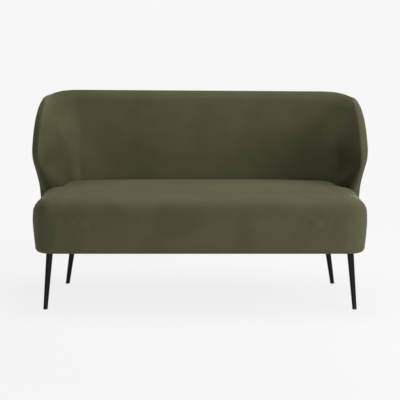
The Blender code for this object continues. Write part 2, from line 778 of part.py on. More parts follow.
def back_form():
    """The whole upholstered back as one closed form, cut level at the underside."""
    outline = back_outline()
    seam_gap = SEAM_WIDTH / RIM_RADIUS
    angles = [0, SEAM_ANGLE / 2, SEAM_ANGLE - seam_gap, SEAM_ANGLE]
    angles += [SEAM_ANGLE + (math.pi - SEAM_ANGLE) * (i + 1) / RIM_STEPS for i in range(RIM_STEPS)]
    bm = ringed_form([rim_ring(outline, angle) for angle in angles])
    for face in bm.faces:
        if face.material_index:
            continue
        depth = face.calc_center_median().y
        seam_depth = RIM_RADIUS * (1 - math.cos(SEAM_ANGLE))
        if depth > seam_depth:
            face.material_index = INSIDE_RIM
        elif depth > RIM_RADIUS * (1 - math.cos(SEAM_ANGLE - seam_gap)):
            face.material_index = SEAM_BAND
        else:
            face.material_index = OUTSIDE_RIM

    def on_cap(face):
        return face.material_index in (LOW_CAP, HIGH_CAP)

    sliced(bm, 0, corner_slices())
    inner = [side * CORNER_START * share for share in BACK_SLICE_SHARES for side in (-1, 1)]
    wings = [side * (CORNER_END + WING_REACH * share) for share in WING_SLICE_SHARES
             for side in (-1, 1)]
    sliced(bm, 0, [*inner, 0, *wings], on_cap)
    sliced(bm, 2, BACK_ROWS[1:-1], on_cap)
    sliced(bm, 2, [SLAB_Z])
    sliced(bm, 1, [TUCK_DEPTH], lambda face: face.material_index == INSIDE_RIM
           and face.calc_center_median().z < SLAB_Z)
    for face in bm.faces:
        middle = face.calc_center_median()
        if middle.z < SLAB_Z and middle.y > TUCK_DEPTH:
            face.material_index = UNDER_FACE
    whole = [*bm.verts, *bm.edges, *bm.faces]
    bmesh.ops.bisect_plane(bm, geom=whole, dist=GAP / 10, clear_inner=True,
                           plane_co=(0, 0, UNDERSIDE_Z), plane_no=(0, 0, 1))
    bmesh.ops.remove_doubles(bm, verts=bm.verts, dist=GAP / 2)
    bmesh.ops.triangulate(bm, faces=bm.faces)

    edge = moved_in(outline, [RIM_RADIUS] * len(outline))
    for vert in bm.verts:
        if vert.co.y > BACK_THICKNESS - GAP:
            distance = distance_to(vert.co.xz, edge)
            vert.co.y += BACK_CROWN * crown(distance, BACK_CROWN_REACH)
    opening = [item for item in bm.edges if item.is_boundary]
    filled = bmesh.ops.triangle_fill(bm, use_beauty=True, edges=opening)
    for item in filled["geom"]:
        if isinstance(item, bmesh.types.BMFace):
            item.material_index = UNDER_FACE
    return wrap(bm)


def flat_panel(inset, depths, cuts):
    """A closed panel between two depths, inside the outline of the back, cut to size."""
    outline = back_outline()
    moved = moved_in(outline, [inset] * len(outline))
    bm = ringed_form([[Vector((point.x, depth, point.y)) for point in moved]
                      for depth in depths])
    for point, normal in cuts:
        trimmed(bm, point, normal)
    return bm


def back_mesh(name, inset, depths, along=None, heights=None):
    """A bent panel of the back, cut to a range along the back and upwards."""
    cuts = []
    if along:
        cuts += [((along[0], 0, 0), (-1, 0, 0)), ((along[1], 0, 0), (1, 0, 0))]
    if heights:
        cuts += [((0, 0, heights[0]), (0, 0, -1)), ((0, 0, heights[1]), (0, 0, 1))]
    bm = flat_panel(inset, depths, cuts)
    low = min(vert.co.x for vert in bm.verts)
    high = max(vert.co.x for vert in bm.verts)
    sliced(bm, 0, [place for place in corner_slices() if low + GAP < place < high - GAP])
    bottom = min(vert.co.z for vert in bm.verts)
    top = max(vert.co.z for vert in bm.verts)
    sliced(bm, 2, [row for row in BACK_ROWS if bottom + GAP < row < top - GAP])
    bmesh.ops.triangulate(bm, faces=bm.faces)
    return mesh_from(wrap(bm), name)


def back_piece(name, finish, *sizes):
    return keep(name, back_mesh(name, *sizes), finish)


def make_back_upholstery():
    form = back_form()
    skin("inside_back_cover", form,
         lambda face: face.material_index in (INSIDE_RIM, HIGH_CAP))
    skin("outside_back_cover", form,
         lambda face: face.material_index in (OUTSIDE_RIM, LOW_CAP))

    foam = keep("back_foam", mesh_from(shrunk(form, FILLING_INSET), "back_foam"), FOAM)
    foam.data.shade_smooth()
    form.free()
    room = back_mesh("back_frame_room", EDGE_FOAM, (-OVERRUN, FOAM_DEPTH))
    low = back_mesh("seat_room", -OVERRUN, (TUCK_DEPTH, BACK_THICKNESS + OVERRUN),
                    heights=(UNDERSIDE_Z - BACK_THICKNESS / 2, SLAB_Z))
    cut(foam, cutter(room), cutter(low))


def make_back_frame():
    """Bottom and top rails, posts, curved corner ribs and wing panels."""
    depths = (FRAME_DEPTH, FRAME_INNER_DEPTH)
    inset = EDGE_FOAM + BENT_FIT
    lower = (FRAME_Z, FRAME_Z + BACK_RAIL_DEPTH)
    top_rail_z = BACK_TOP_Z - inset - BACK_RAIL_DEPTH
    above = BACK_TOP_Z
    rail_ends = (-CORNER_START, CORNER_START)
    bottom = back_piece("back_bottom_rail", PINE, inset, depths, rail_ends, lower)
    rear = FRONT_Y + BACK_REAR_Y - FRAME_DEPTH
    cut(bottom, bolt_holes("bottom_rail_holes", TEE_BARREL_RADIUS + GAP, rear,
                           -BACK_TIMBER - OVERRUN, OVERRUN),
        bolt_holes("tee_nut_seats", TEE_FLANGE_RADIUS + GAP, rear, -TEE_FLANGE - GAP, OVERRUN))
    back_piece("back_top_rail", PINE, inset, depths, rail_ends, (top_rail_z, above))

    post_heights = (lower[1] + GAP, top_rail_z - GAP)
    half = BACK_POST_WIDTH / 2
    back_piece("back_centre_post", PINE, inset, depths, (-half, half), post_heights)
    for side in (-1, 1):
        def reach(low, high):
            return (low, high) if side > 0 else (-high, -low)

        post = reach(CORNER_START - BACK_POST_WIDTH, CORNER_START)
        back_piece(sided("back_end_post", side), PINE, inset, depths, post, post_heights)
        wing_start = CORNER_END - (CORNER_END - CORNER_START) / CORNER_STEPS
        rib = reach(CORNER_START + GAP, wing_start - GAP)
        back_piece(sided("lower_corner_rib", side), PLYWOOD, inset, depths, rib, lower)
        back_piece(sided("upper_corner_rib", side), PLYWOOD, inset, depths, rib,
                   (top_rail_z, above))
        wing = reach(wing_start, CORNER_END + WING_REACH)
        back_piece(sided("wing_panel", side), PLYWOOD, inset, depths, wing, (FRAME_Z, above))

    strap_depths = (FRAME_INNER_DEPTH + GAP, FRAME_INNER_DEPTH + GAP + WEBBING)
    strap_heights = (SLAB_Z + GAP, top_rail_z + BACK_RAIL_DEPTH / 2)
    for number, place in enumerate(strap_places(), 1):
        ends = (place - WEBBING_WIDTH / 2, place + WEBBING_WIDTH / 2)
        back_piece(f"back_strap_{number}", RUBBER, inset, strap_depths, ends, strap_heights)
    back_piece("back_liner", CARD, RIM_RADIUS, (LINER_DEPTH, LINER_DEPTH + LINER), None,
               (FRAME_Z, above))


def strap_places():
    """The straps are spread evenly over each bay between the posts."""
    start = BACK_POST_WIDTH / 2
    bay = CORNER_START - BACK_POST_WIDTH - start
    right = [start + bay * (i + 1) / (STRAPS_PER_BAY + 1) for i in range(STRAPS_PER_BAY)]
    return [-place for place in reversed(right)] + right


# Bolts through the rear rail of the seat into the bottom rail of the back

def lying(x, y):
    """Where a piece turned round +Z lies once its top points to the rear."""
    height = FRAME_Z + BACK_RAIL_DEPTH / 2
    return Matrix.Translation((x, y, height)) @ Matrix.Rotation(-math.pi / 2, 4, "X")


def rod_mesh(name, radius, low, high):
    profile = [(0, high), (radius, high), (radius, low), (0, low)]
    return turned_mesh(name, profile, SMALL_SEGMENTS)


def bolt_holes(name, radius, y, low, high):
    """A cutter for one hole on each side, through part of the rails."""
    hole = rod_mesh(name, radius, low, high)
    return cutter(joined_mesh(name, hole, [lying(x, y) for x in (-BOLT_SPREAD, BOLT_SPREAD)]))


def make_bolts():
    """Each bolt goes in from inside the seat and ends in a tee nut behind the back rail."""
    face = FRONT_Y + SEAT_REAR_RAIL_Y - RAIL_THICKNESS
    nut_face = FRONT_Y + BACK_REAR_Y - FRAME_DEPTH - GAP
    tip = nut_face - TEE_FLANGE - face
    flange = -GAP - BOLT_FLANGE
    bore = BOLT_RADIUS + GAP
    for side in (-1, 1):
        name = sided("back_bolt", side)
        profile = [(0, tip), (BOLT_RADIUS, tip), (BOLT_RADIUS, -GAP),
                   (BOLT_FLANGE_RADIUS, -GAP), (BOLT_FLANGE_RADIUS, flange),
                   (BOLT_HEAD_RADIUS, flange), (BOLT_HEAD_RADIUS, flange - BOLT_HEAD_HEIGHT),
                   (0, flange - BOLT_HEAD_HEIGHT)]
        bolt = turned_mesh(name, profile, SMALL_SEGMENTS)
        bolt.transform(lying(side * BOLT_SPREAD, face))
        keep(name, bolt, ZINC)

        name = sided("back_tee_nut", side)
        profile = [(bore, 0), (TEE_FLANGE_RADIUS, 0), (TEE_FLANGE_RADIUS, -TEE_FLANGE),
                   (TEE_BARREL_RADIUS, -TEE_FLANGE), (TEE_BARREL_RADIUS, -TEE_BARREL_LENGTH),
                   (bore, -TEE_BARREL_LENGTH), (bore, 0)]
        nut = turned_mesh(name, profile, SMALL_SEGMENTS)
        nut.transform(lying(side * BOLT_SPREAD, nut_face))
        keep(name, nut, ZINC)


# Legs

def leg_corners():
    """Name, side, and the plan places of the top and the foot of each leg."""
    corners = []
    for end, top, foot in (("front", (FRONT_LEG_X, FRONT_LEG_Y), (FRONT_FOOT_X, FRONT_FOOT_Y)),
                           ("rear", (REAR_LEG_X, REAR_LEG_Y), (REAR_FOOT_X, REAR_FOOT_Y))):
        for side in (-1, 1):
            places = [Vector((side * x, FRONT_Y + y)) for x, y in (top, foot)]
            corners.append((sided(end + "_leg", side), *places))
    return corners


def splayed(mesh, top, foot):
    """Lean an upright turned piece so that its ends stay level at the floor and the plate."""
    for vert in mesh.vertices:
        center = foot.lerp(top, vert.co.z / LEG_TOP_Z)
        vert.co.x += center.x
        vert.co.y += center.y
    return mesh


def leg_radius(height):
    share = height / LEG_TOP_Z
    return LEG_FOOT_RADIUS + (LEG_TOP_RADIUS - LEG_FOOT_RADIUS) * share


def stud_hole(name, x, y):
    """A cutter for the hole that takes the stud of one leg."""
    hole = rod_mesh(name + "_hole", STUD_RADIUS + GAP, PLATE_Z, PLATE_Z + STUD_LENGTH + OVERRUN)
    hole.transform(Matrix.Translation((x, y, 0)))
    return cutter(hole)


def make_legs():
    glide_top = GLIDE_HEIGHT
    low = glide_top + GAP
    for name, top, foot in leg_corners():
        wall = LEG_WALL
        profile = [(leg_radius(LEG_TOP_Z), LEG_TOP_Z), (leg_radius(low), low),
                   (leg_radius(low) - wall, low), (leg_radius(LEG_TOP_Z) - wall, LEG_TOP_Z),
                   (leg_radius(LEG_TOP_Z), LEG_TOP_Z)]
        tube = turned_mesh(name, profile, ROUND_SEGMENTS)
        smooth(tube)
        keep(name, splayed(tube, top, foot), LEG_PAINT)

        plug = leg_radius(low) - wall - GAP
        name = name.replace("leg", "glide")
        profile = [(0, glide_top + GLIDE_PLUG_HEIGHT), (plug, glide_top + GLIDE_PLUG_HEIGHT),
                   (plug, glide_top), (GLIDE_RADIUS, glide_top),
                   (GLIDE_RADIUS, GLIDE_EASING), (GLIDE_RADIUS - GLIDE_EASING, 0), (0, 0)]
        glide = turned_mesh(name, profile, ROUND_SEGMENTS)
        smooth(glide)
        keep(name, splayed(glide, top, foot), GLIDE_PLASTIC)


def make_leg_plates():
    """A steel disc welded on top of each leg, with the stud that screws into the frame."""
    for name, top, _ in leg_corners():
        name = name.replace("leg", "leg_stud")
        disc = PLATE_Z + PLATE_STEEL
        tip = PLATE_Z + STUD_LENGTH
        profile = [(0, tip), (STUD_RADIUS, tip), (STUD_RADIUS, disc), (PLATE_RADIUS, disc),
                   (PLATE_RADIUS, PLATE_Z), (0, PLATE_Z)]
        plate = turned_mesh(name, profile, ROUND_SEGMENTS)
        smooth(plate)
        plate.transform(Matrix.Translation((*top, 0)))
        keep(name, plate, ZINC)


def make_dust_cover():
    """A thin sheet under the seat and the foot of the back."""
    margin = SEAT_DRAFT + SEAT_BOTTOM_ROLL + DUST_COVER_MARGIN
    front = SEAT_HALF_WIDTH - SEAT_FRONT_CORNER, SEAT_FRONT_CORNER
    rear = CORNER_START * side_draw(UNDERSIDE_Z), BACK_REAR_Y - BACK_CORNER
    rear_radius = BACK_CORNER - DUST_COVER_MARGIN
    half = arc(front, SEAT_FRONT_CORNER - margin, -1, 0)
    half.append(Vector((SEAT_HALF_WIDTH - margin, SEAT_NOTCH_Y)))
    half.append(Vector((rear[0] + rear_radius, SEAT_NOTCH_Y)))
    half += arc(rear, rear_radius, 0, 1)
    plan = [point + Vector((0, FRONT_Y)) for point in both_sides(half)]
    mesh = prism_mesh("dust_cover", plan, DUST_COVER_Z, DUST_COVER_Z + DUST_COVER)
    sheet = keep("dust_cover", mesh, NONWOVEN)
    cut(sheet, *[stud_hole("dust_cover_" + name, *top) for name, top, _ in leg_corners()])


make_seat_upholstery()
make_seat_frame()
make_springs()
make_spring_pad()
make_back_upholstery()
make_back_frame()
make_bolts()
make_legs()
make_leg_plates()
make_dust_cover()
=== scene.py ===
"""Looks of a two-seater sofa in olive velvet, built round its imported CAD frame."""

import json
import math

import bmesh
import bpy
import numpy
from mathutils import Matrix, Vector, noise
from mathutils.kdtree import KDTree


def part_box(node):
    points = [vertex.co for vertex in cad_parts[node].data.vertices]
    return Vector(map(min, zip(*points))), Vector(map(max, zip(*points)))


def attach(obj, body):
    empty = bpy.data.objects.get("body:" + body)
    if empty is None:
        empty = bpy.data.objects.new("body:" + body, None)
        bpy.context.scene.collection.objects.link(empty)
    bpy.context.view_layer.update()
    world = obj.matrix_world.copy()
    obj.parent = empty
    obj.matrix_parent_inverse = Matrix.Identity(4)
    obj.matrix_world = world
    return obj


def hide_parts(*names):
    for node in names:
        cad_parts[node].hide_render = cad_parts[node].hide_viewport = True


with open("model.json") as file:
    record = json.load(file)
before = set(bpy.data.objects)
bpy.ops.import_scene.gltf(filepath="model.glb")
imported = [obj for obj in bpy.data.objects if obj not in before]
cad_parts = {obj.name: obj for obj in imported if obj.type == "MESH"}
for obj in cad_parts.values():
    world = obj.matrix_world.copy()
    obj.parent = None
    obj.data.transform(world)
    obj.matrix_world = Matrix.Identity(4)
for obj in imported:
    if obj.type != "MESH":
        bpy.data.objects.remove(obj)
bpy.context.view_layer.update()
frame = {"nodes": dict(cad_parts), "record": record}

# Two places closer than this count as one
SAME_PLACE = 0.001

# The seat, in metres, fitted to the CAD frame. SEAT_NOTCH_OUTER stays larger than
# SEAT_TOP_ROLL, because the outline is moved in by that roll.
UNDERSIDE_Z = 0.2365
SEAT_EDGE_Z = 0.452
SEAT_WAIST_Z = 0.36
SEAT_HALF_WIDTH = 0.6695
SEAT_DRAFT = 0.011
SEAT_TOP_ROLL = 0.056
SEAT_REAR_ROLL = 0.022
SEAT_BOTTOM_ROLL = 0.020
SEAT_LIP = 0.056
SEAT_LIP_STEP = 0.006
SEAT_FRONT_CORNER = 0.080
SEAT_NOTCH_OUTER = 0.058
SEAT_NOTCH_Y = 0.4395
RAIL_HALF_WIDTH = 0.631
DUST_COVER_MARGIN = 0.012
LEG_TOPS = ((0.6045, 0.108), (0.547, 0.535))

# How the seat's padding sags at its lower edge and rises on top
SEAT_EDGE_DIP = 0.003
SEAT_REAR_DIP = -0.002
SEAT_DIP_END = 0.03
SEAT_CROWN = 0.010
SEAT_CROWN_REACH = 0.16
SEAT_BROAD_CROWN = 0.009
SEAT_BROAD_REACH = 0.36
TOP_FACE_BLEND = 0.004
NOTCH_FILL_LOW = (0.045, 0.07, 0.001)
NOTCH_FILL_HIGH = (0.014, 0.004, 0.060)

# Lines sunk into the seat, with the pulls above the seam and the swell below the fold
SEAT_SEAM_Z = 0.4165
SEAT_SEAM_SINK = 0.0011
SEAT_SEAM_WIDTH = 0.0028
SEAT_SEAM_WAVES = ((0.0016, 21, 1.3), (0.0009, 53, 0))
SEAT_FOLD_Z = 0.2615
SEAT_FOLD_SINK = 0.0010
SEAT_FOLD_WIDTH = 0.0035
SEAT_LINES_END = 0.02
PULL_SINK = 0.0006
PULL_BELOW_SEAM = 0.03
PULL_ABOVE_SEAM = 0.022
PULL_HEIGHT = 0.024
PULL_REACH = 0.20
PULL_MIDDLE_SHARE = 0.35
PULL_RATE_ACROSS = 95
PULL_RATE_BACK = 40
PULL_STRAY = 2.2
PULL_STRAY_SCALE = 9
SWELL_RISE = 0.0012
SWELL_BELOW_FOLD = 0.012
SWELL_WIDTH = 0.010

# The back, in metres, fitted to the CAD frame
BACK_TOP_Z = 0.846
ELBOW_SHARE = 0.5964
ELBOW_Z = UNDERSIDE_Z + (BACK_TOP_Z - UNDERSIDE_Z) * ELBOW_SHARE
BACK_HALF_WIDTH = 0.690
BACK_REAR_Y = 0.630
BACK_THICKNESS = 0.078
BACK_CORNER = 0.170
LEAN_START_Z = 0.40
LEAN_BLEND = 0.08
BACK_LEAN = math.radians(10)
WING_REACH = 0.266
WING_FOOT_REACH = 0.022
BARREL = 0.018
TOP_UNEVEN = 0.0065

BACK_LOWER_RISE = ELBOW_Z - UNDERSIDE_Z
BACK_UPPER_RISE = BACK_TOP_Z - ELBOW_Z
RIM_RADIUS = BACK_THICKNESS / 2
CORNER_START = BACK_HALF_WIDTH - BACK_CORNER
CORNER_END = CORNER_START + BACK_CORNER * math.pi / 2

# The back's edge: shares of the wing's reach and of the rise, from the foot up to the corner
LOWER_EDGE = ((0.084, 0.176), (0.090, 0.34), (0.115, 0.505), (0.215, 0.586),
              (0.42, 0.684), (0.65, 0.78), (0.87, 0.876))
UPPER_EDGE = ((1.0, 0.16), (0.90, 0.41), (0.70, 0.66), (0.42, 0.83), (0.17, 0.888))
CORNER_RISE = (1.0, 0.998, 0.979, 0.935)
TOP_SHARES = (0.85, 0.5, 0.2)
EDGE_STEPS = 6
RIM_STEPS = 12

# How the back's padding swells, fills the inner corners and thins towards the wings' edge
BACK_CROWN = 0.008
BACK_CROWN_REACH = 0.13
INNER_CORNER = 0.205
FILL_EDGE_FADE = 0.08
FILL_TOP_GAP = 0.03
FILL_TOP_FADE = 0.26
FILL_LOW_Z = 0.34
FILL_LOW_FADE = 0.06
FILL_ROUNDS = 120
TOP_THINNING = 0.10
WING_THINNING = 0.56
THINNING_REACH = 0.24
THINNING_RUN = 0.09
THINNING_LEAD = 0.025
THINNING_RISE = 0.11
THINNING_ROUNDS = 60
WING_DRAW = 0.012
WING_DRAW_REACH = 0.045
WING_DRAW_RUN = 0.12
WING_DRAW_RISE = 0.08
WING_DRAW_ABOVE_SEAT = 0.018
INNER_FACE_BLEND = 0.004

# Seams of the back
SEAM_ANGLE = math.radians(45)
SEAM_DEPTH = RIM_RADIUS * (1 - math.cos(SEAM_ANGLE))
SEAM_ALLOWANCE = 0.008
PANEL_SEAM_SINK = 0.0026
PANEL_SEAM_WIDTH = 0.0042
REAR_SEAM_X = 0.50
REAR_SEAM_SINK = 0.0013
REAR_SEAM_WIDTH = 0.0030
REAR_SEAM_DEPTH = 0.03
INNER, OUTER = 0, 1

# Meshes, and the cloth simulation that pads them out
SEAT_VOXEL = 0.0095
BACK_VOXEL = 0.0085
EASING = 0.5
EASING_ROUNDS = 4
PADDING_FRAMES = 20
PADDING_PRESSURE = 3.0
PADDING_LIMIT = 0.004
PADDING_CLOTH = {
    "quality": 4, "mass": 0.4, "tension_stiffness": 25, "compression_stiffness": 25,
    "shear_stiffness": 15, "bending_stiffness": 4, "use_pressure": True,
    "uniform_pressure_force": PADDING_PRESSURE,
}
TACK_STIFFNESS = 4
TACKED = 1.0
SEAT_TACK = 0.06
SEAT_HELD_BEHIND = 0.03
SEAT_HELD_BELOW = 0.012
BACK_TACK = 0.4
BACK_HELD_BELOW = 0.02

# Staples of the dust cover
STAPLE_INSET = 0.008
STAPLE_PITCH = 0.042
STAPLE_LEG_GAP = 0.026
STAPLE_JOG = 0.012
STAPLE_BENDS = ((-0.0052, -0.0004), (-0.0047, 0.0004), (-0.0035, 0.0008),
                (0.0035, 0.0008), (0.0047, 0.0004), (0.0052, -0.0004))
STAPLE_HALF_WIDTH = 0.0006
STAPLE_HALF_HEIGHT = 0.0003

# Colours of the velvet, and of the studio
VELVET_DEEP = (0.068, 0.0655, 0.0325)
VELVET_FULL = (0.082, 0.0785, 0.0405)
VELVET_SHEEN = (0.75, 0.73, 0.52)
BACKDROP = 0.93
AMBIENT = 0.31
FLOOR_DARK = 0.87
FLOOR_LIGHT = 0.89
FLOOR_SHARE = 0.88
FLOOR_FADE_START = 1.1
FLOOR_FADE_END = 2.6
FLOOR_RADIUS = 9
FLOOR_SEGMENTS = 64

# Camera and lamps: name, place, size and power
CAMERA_PLACE = (0, -5.173, 1.160)
CAMERA_LENS = 112.13
CAMERA_SHIFT = -0.05
CAMERA_DOWN = 7.394
LIGHT_TARGET = (0, 0, 0.4)
STUDIO_LIGHTS = (
    ("key_light", (3.5, -2.2, 1.9), 2.4, 125),
    ("fill_light", (-0.6, -4.8, 0.28), 2.2, 30),
    ("top_light", (0.3, 0.3, 3.5), 1.8, 55),
    ("rear_light", (1.6, 4.4, 1.8), 2.2, 80),
)


def lean(height):
    """How far the back leans to the rear at a height."""
    rise = max(height - LEAN_START_Z, 0)
    if rise < LEAN_BLEND:
        return math.tan(BACK_LEAN) * rise ** 2 / (2 * LEAN_BLEND)
    return math.tan(BACK_LEAN) * (rise - LEAN_BLEND / 2)


def side_draw(height):
    """The back's width at a height, as a share of its width at the elbow."""
    return 1 - BARREL / BACK_HALF_WIDTH * ((height - ELBOW_Z) / BACK_LOWER_RISE) ** 2


FRONT_Y = -(BACK_REAR_Y + lean(BACK_TOP_Z - RIM_RADIUS)) / 2
NOTCH_Y = FRONT_Y + SEAT_NOTCH_Y
SEAT_REAR_Y = BACK_REAR_Y - BACK_THICKNESS - BACK_CROWN
SEAT_REAR_HALF_WIDTH = (BACK_HALF_WIDTH - BACK_THICKNESS - BACK_CROWN) * side_draw(SEAT_WAIST_Z)
SEAT_REAR_CORNER = BACK_CORNER - BACK_THICKNESS - BACK_CROWN
SEAT_NOTCH_INNER = SEAT_HALF_WIDTH - SEAT_REAR_HALF_WIDTH - SEAT_NOTCH_OUTER


# Outlines and padded forms

def moved_in(points, insets):
    """A closed outline moved inwards, each corner by its own inset."""
    moved = []
    for i, here in enumerate(points):
        before = (here - points[i - 1]).normalized()
        after = (points[(i + 1) % len(points)] - here).normalized()
        inward = Vector((-before.y, before.x)) + Vector((-after.y, after.x))
        moved.append(here + inward * insets[i] * 2 / inward.length_squared)
    return moved


def arc(center, radius, start, end, steps=8):
    """Points on an arc from one quarter turn to another."""
    points = []
    for i in range(steps + 1):
        angle = math.pi / 2 * (start + (end - start) * i / steps)
        points.append(Vector((center[0] + radius * math.cos(angle),
                              center[1] + radius * math.sin(angle))))
    return points


def both_sides(half, gap=0.0005):
    """A half outline without doubled points, and its mirror image."""
    half = [point for i, point in enumerate(half)
            if i == 0 or (point - half[i - 1]).length > gap]
    return half + [Vector((-point.x, point.y)) for point in reversed(half)]


def curved_through(points, steps):
    """A smooth open line through points."""
    line = []
    for i in range(len(points) - 1):
        before = points[max(i - 1, 0)]
        start, end = points[i], points[i + 1]
        after = points[min(i + 2, len(points) - 1)]
        for k in range(steps):
            t = k / steps
            line.append((start * 2 + (end - before) * t
                         + (before * 2 - start * 5 + end * 4 - after) * t ** 2
                         + (start * 3 - before - end * 3 + after) * t ** 3) / 2)
    return line + [points[-1]]


def ringed_form(rings):
    """A closed form through rings of points, capped at both ends."""
    bm = bmesh.new()
    levels = [[bm.verts.new(point) for point in ring] for ring in rings]
    for low, high in zip(levels, levels[1:]):
        for i in range(len(low)):
            k = (i + 1) % len(low)
            bm.faces.new((low[i], low[k], high[k], high[i]))
    bm.faces.new(list(reversed(levels[0])))
    bm.faces.new(levels[-1])
    bmesh.ops.triangulate(bm, faces=bm.faces)
    return bm


def object_from(bm, name, closed=True):
    """A smooth-shaded object of a form. A closed form gets its faces turned outwards."""
    if closed:
        bmesh.ops.recalc_face_normals(bm, faces=bm.faces)
        for face in bm.faces:
            face.smooth = True
    mesh = bpy.data.meshes.new(name)
    bm.to_mesh(mesh)
    bm.free()
    made = bpy.data.objects.new(name, mesh)
    bpy.context.scene.collection.objects.link(made)
    return made


def settled(piece):
    """Apply every modifier of a piece to its mesh."""
    graph = bpy.context.evaluated_depsgraph_get()
    mesh = bpy.data.meshes.new_from_object(piece.evaluated_get(graph))
    piece.modifiers.clear()
    piece.data = mesh
    mesh.shade_smooth()
    return piece


def remeshed(piece, voxel):
    """Give a piece an even mesh, eased so that no grid shows."""
    step = piece.modifiers.new("even_mesh", "REMESH")
    step.mode = "VOXEL"
    step.voxel_size = voxel
    easing = piece.modifiers.new("easing", "SMOOTH")
    easing.factor = EASING
    easing.iterations = EASING_ROUNDS
    return settled(piece)


def padded_out(piece, held):
    """Swell a closed cover by cloth simulation; held(place) is 1 where it is tacked down.

    No point moves further than the padding's limit.
    """
    start = [vert.co.copy() for vert in piece.data.vertices]
    tacked = piece.vertex_groups.new(name="tacked")
    for i, place in enumerate(start):
        tacked.add([i], held(place), "REPLACE")
    step = piece.modifiers.new("padding", "CLOTH")
    cloth = step.settings
    for setting, value in PADDING_CLOTH.items():
        setattr(cloth, setting, value)
    cloth.effector_weights.gravity = 0
    cloth.vertex_group_mass = "tacked"
    cloth.pin_stiffness = TACK_STIFFNESS
    step.collision_settings.use_collision = False
    scene = bpy.context.scene
    for number in range(1, PADDING_FRAMES + 1):
        scene.frame_set(number)
    graph = bpy.context.evaluated_depsgraph_get()
    mesh = bpy.data.meshes.new_from_object(piece.evaluated_get(graph))
    ends = [vert.co.copy() for vert in mesh.vertices]
    piece.modifiers.clear()
    scene.frame_set(1)
    for vert, place, end in zip(piece.data.vertices, start, ends):
        move = end - place
        if move.length > PADDING_LIMIT:
            move *= PADDING_LIMIT / move.length
        vert.co = place + move
    bpy.data.meshes.remove(mesh)
    return piece


def rounded(piece):
    """Divide a piece's mesh once more, so that its outline is smooth."""
    finer = piece.modifiers.new("finer", "SUBSURF")
    finer.levels = finer.render_levels = 1
    return settled(piece)


# The seat

def seat_plan():
    """The seat's outline from above, and how far each of its points rolls in at the top."""
    wide, narrow = SEAT_HALF_WIDTH, SEAT_REAR_HALF_WIDTH
    front, outer, inner, rear = (SEAT_FRONT_CORNER, SEAT_NOTCH_OUTER, SEAT_NOTCH_INNER,
                                 SEAT_REAR_CORNER)
    half = arc((wide - front, front), front, -1, 0)
    half += arc((wide - outer, SEAT_NOTCH_Y - outer), outer, 0, 1)
    half += arc((narrow + inner, SEAT_NOTCH_Y + inner), inner, 3, 2, 4)
    half += arc((narrow - rear, SEAT_REAR_Y - rear), rear, 0, 1)
    places = [point + Vector((0, FRONT_Y)) for point in both_sides(half)]
    rolls = [SEAT_TOP_ROLL if point.y < NOTCH_Y + SAME_PLACE else SEAT_REAR_ROLL
             for point in places]
    return places, rolls


def make_seat_form(bottom_steps=8, top_steps=10):
    """The seat's closed form with rolled edges, and the outline of its flat top."""
    outline, rolls = seat_plan()
    count = len(outline)
    rings = []

    def ring(insets, heights):
        rings.append([point.to_3d() + Vector((0, 0, height))
                      for point, height in zip(moved_in(outline, insets), heights)])

    dips = [SEAT_EDGE_DIP if point.y < NOTCH_Y - SEAT_DIP_END else SEAT_REAR_DIP
            for point in outline]
    ring([SEAT_LIP] * count, [UNDERSIDE_Z] * count)
    ring([SEAT_LIP - SEAT_LIP_STEP] * count, [UNDERSIDE_Z - dip / 2 for dip in dips])
    for i in range(bottom_steps + 1):
        angle = math.pi / 2 * i / bottom_steps
        inset = SEAT_DRAFT + SEAT_BOTTOM_ROLL * (1 - math.sin(angle))
        height = UNDERSIDE_Z + SEAT_BOTTOM_ROLL * (1 - math.cos(angle))
        ring([inset] * count, [height - dip for dip in dips])
    for i in range(top_steps + 1):
        angle = math.pi / 2 * i / top_steps
        ring([roll * (1 - math.cos(angle)) for roll in rolls],
             [SEAT_EDGE_Z - roll * (1 - math.sin(angle)) for roll in rolls])
    bm = ringed_form(rings)
    for side in (-1, 1):
        add_notch_fill(bm, side)
    return object_from(bm, "seat_upholstery"), moved_in(outline, rolls)


def add_notch_fill(bm, side):
    """Fabric carried round the frame between the seat and the foot of a wing."""
    inner, front, above = NOTCH_FILL_LOW
    outer, behind, below = NOTCH_FILL_HIGH
    low = Vector((RAIL_HALF_WIDTH - inner, NOTCH_Y - front, UNDERSIDE_Z + above))
    high = Vector((RAIL_HALF_WIDTH + outer, NOTCH_Y + behind, SEAT_EDGE_Z - below))
    size = high - low
    middle = (low + high) / 2
    middle.x *= side
    bmesh.ops.create_cube(bm, size=1, matrix=Matrix.Translation(middle)
                          @ Matrix.Diagonal((*size, 1)))


def tree_of(places):
    """A search tree of places."""
    tree = KDTree(len(places))
    for i, place in enumerate(places):
        tree.insert(place, i)
    tree.balance()
    return tree


def distances_from(line, spacing=0.003):
    """A function that gives the distance in the plane from a point to an open line."""
    marks = [line[-1].to_3d()]
    for start, end in zip(line, line[1:]):
        steps = max(int((end - start).length / spacing), 1)
        marks += [start.lerp(end, k / steps).to_3d() for k in range(steps)]
    tree = tree_of(marks)
    return lambda point: tree.find(point.to_3d())[2]


def eased(share):
    """0 to 1 with a soft start and end."""
    share = min(max(share, 0), 1)
    return share * share * (3 - 2 * share)


def crease(distance, width):
    """Depth share of a rounded groove at a distance from its line."""
    return math.exp(-(distance / width) ** 2)


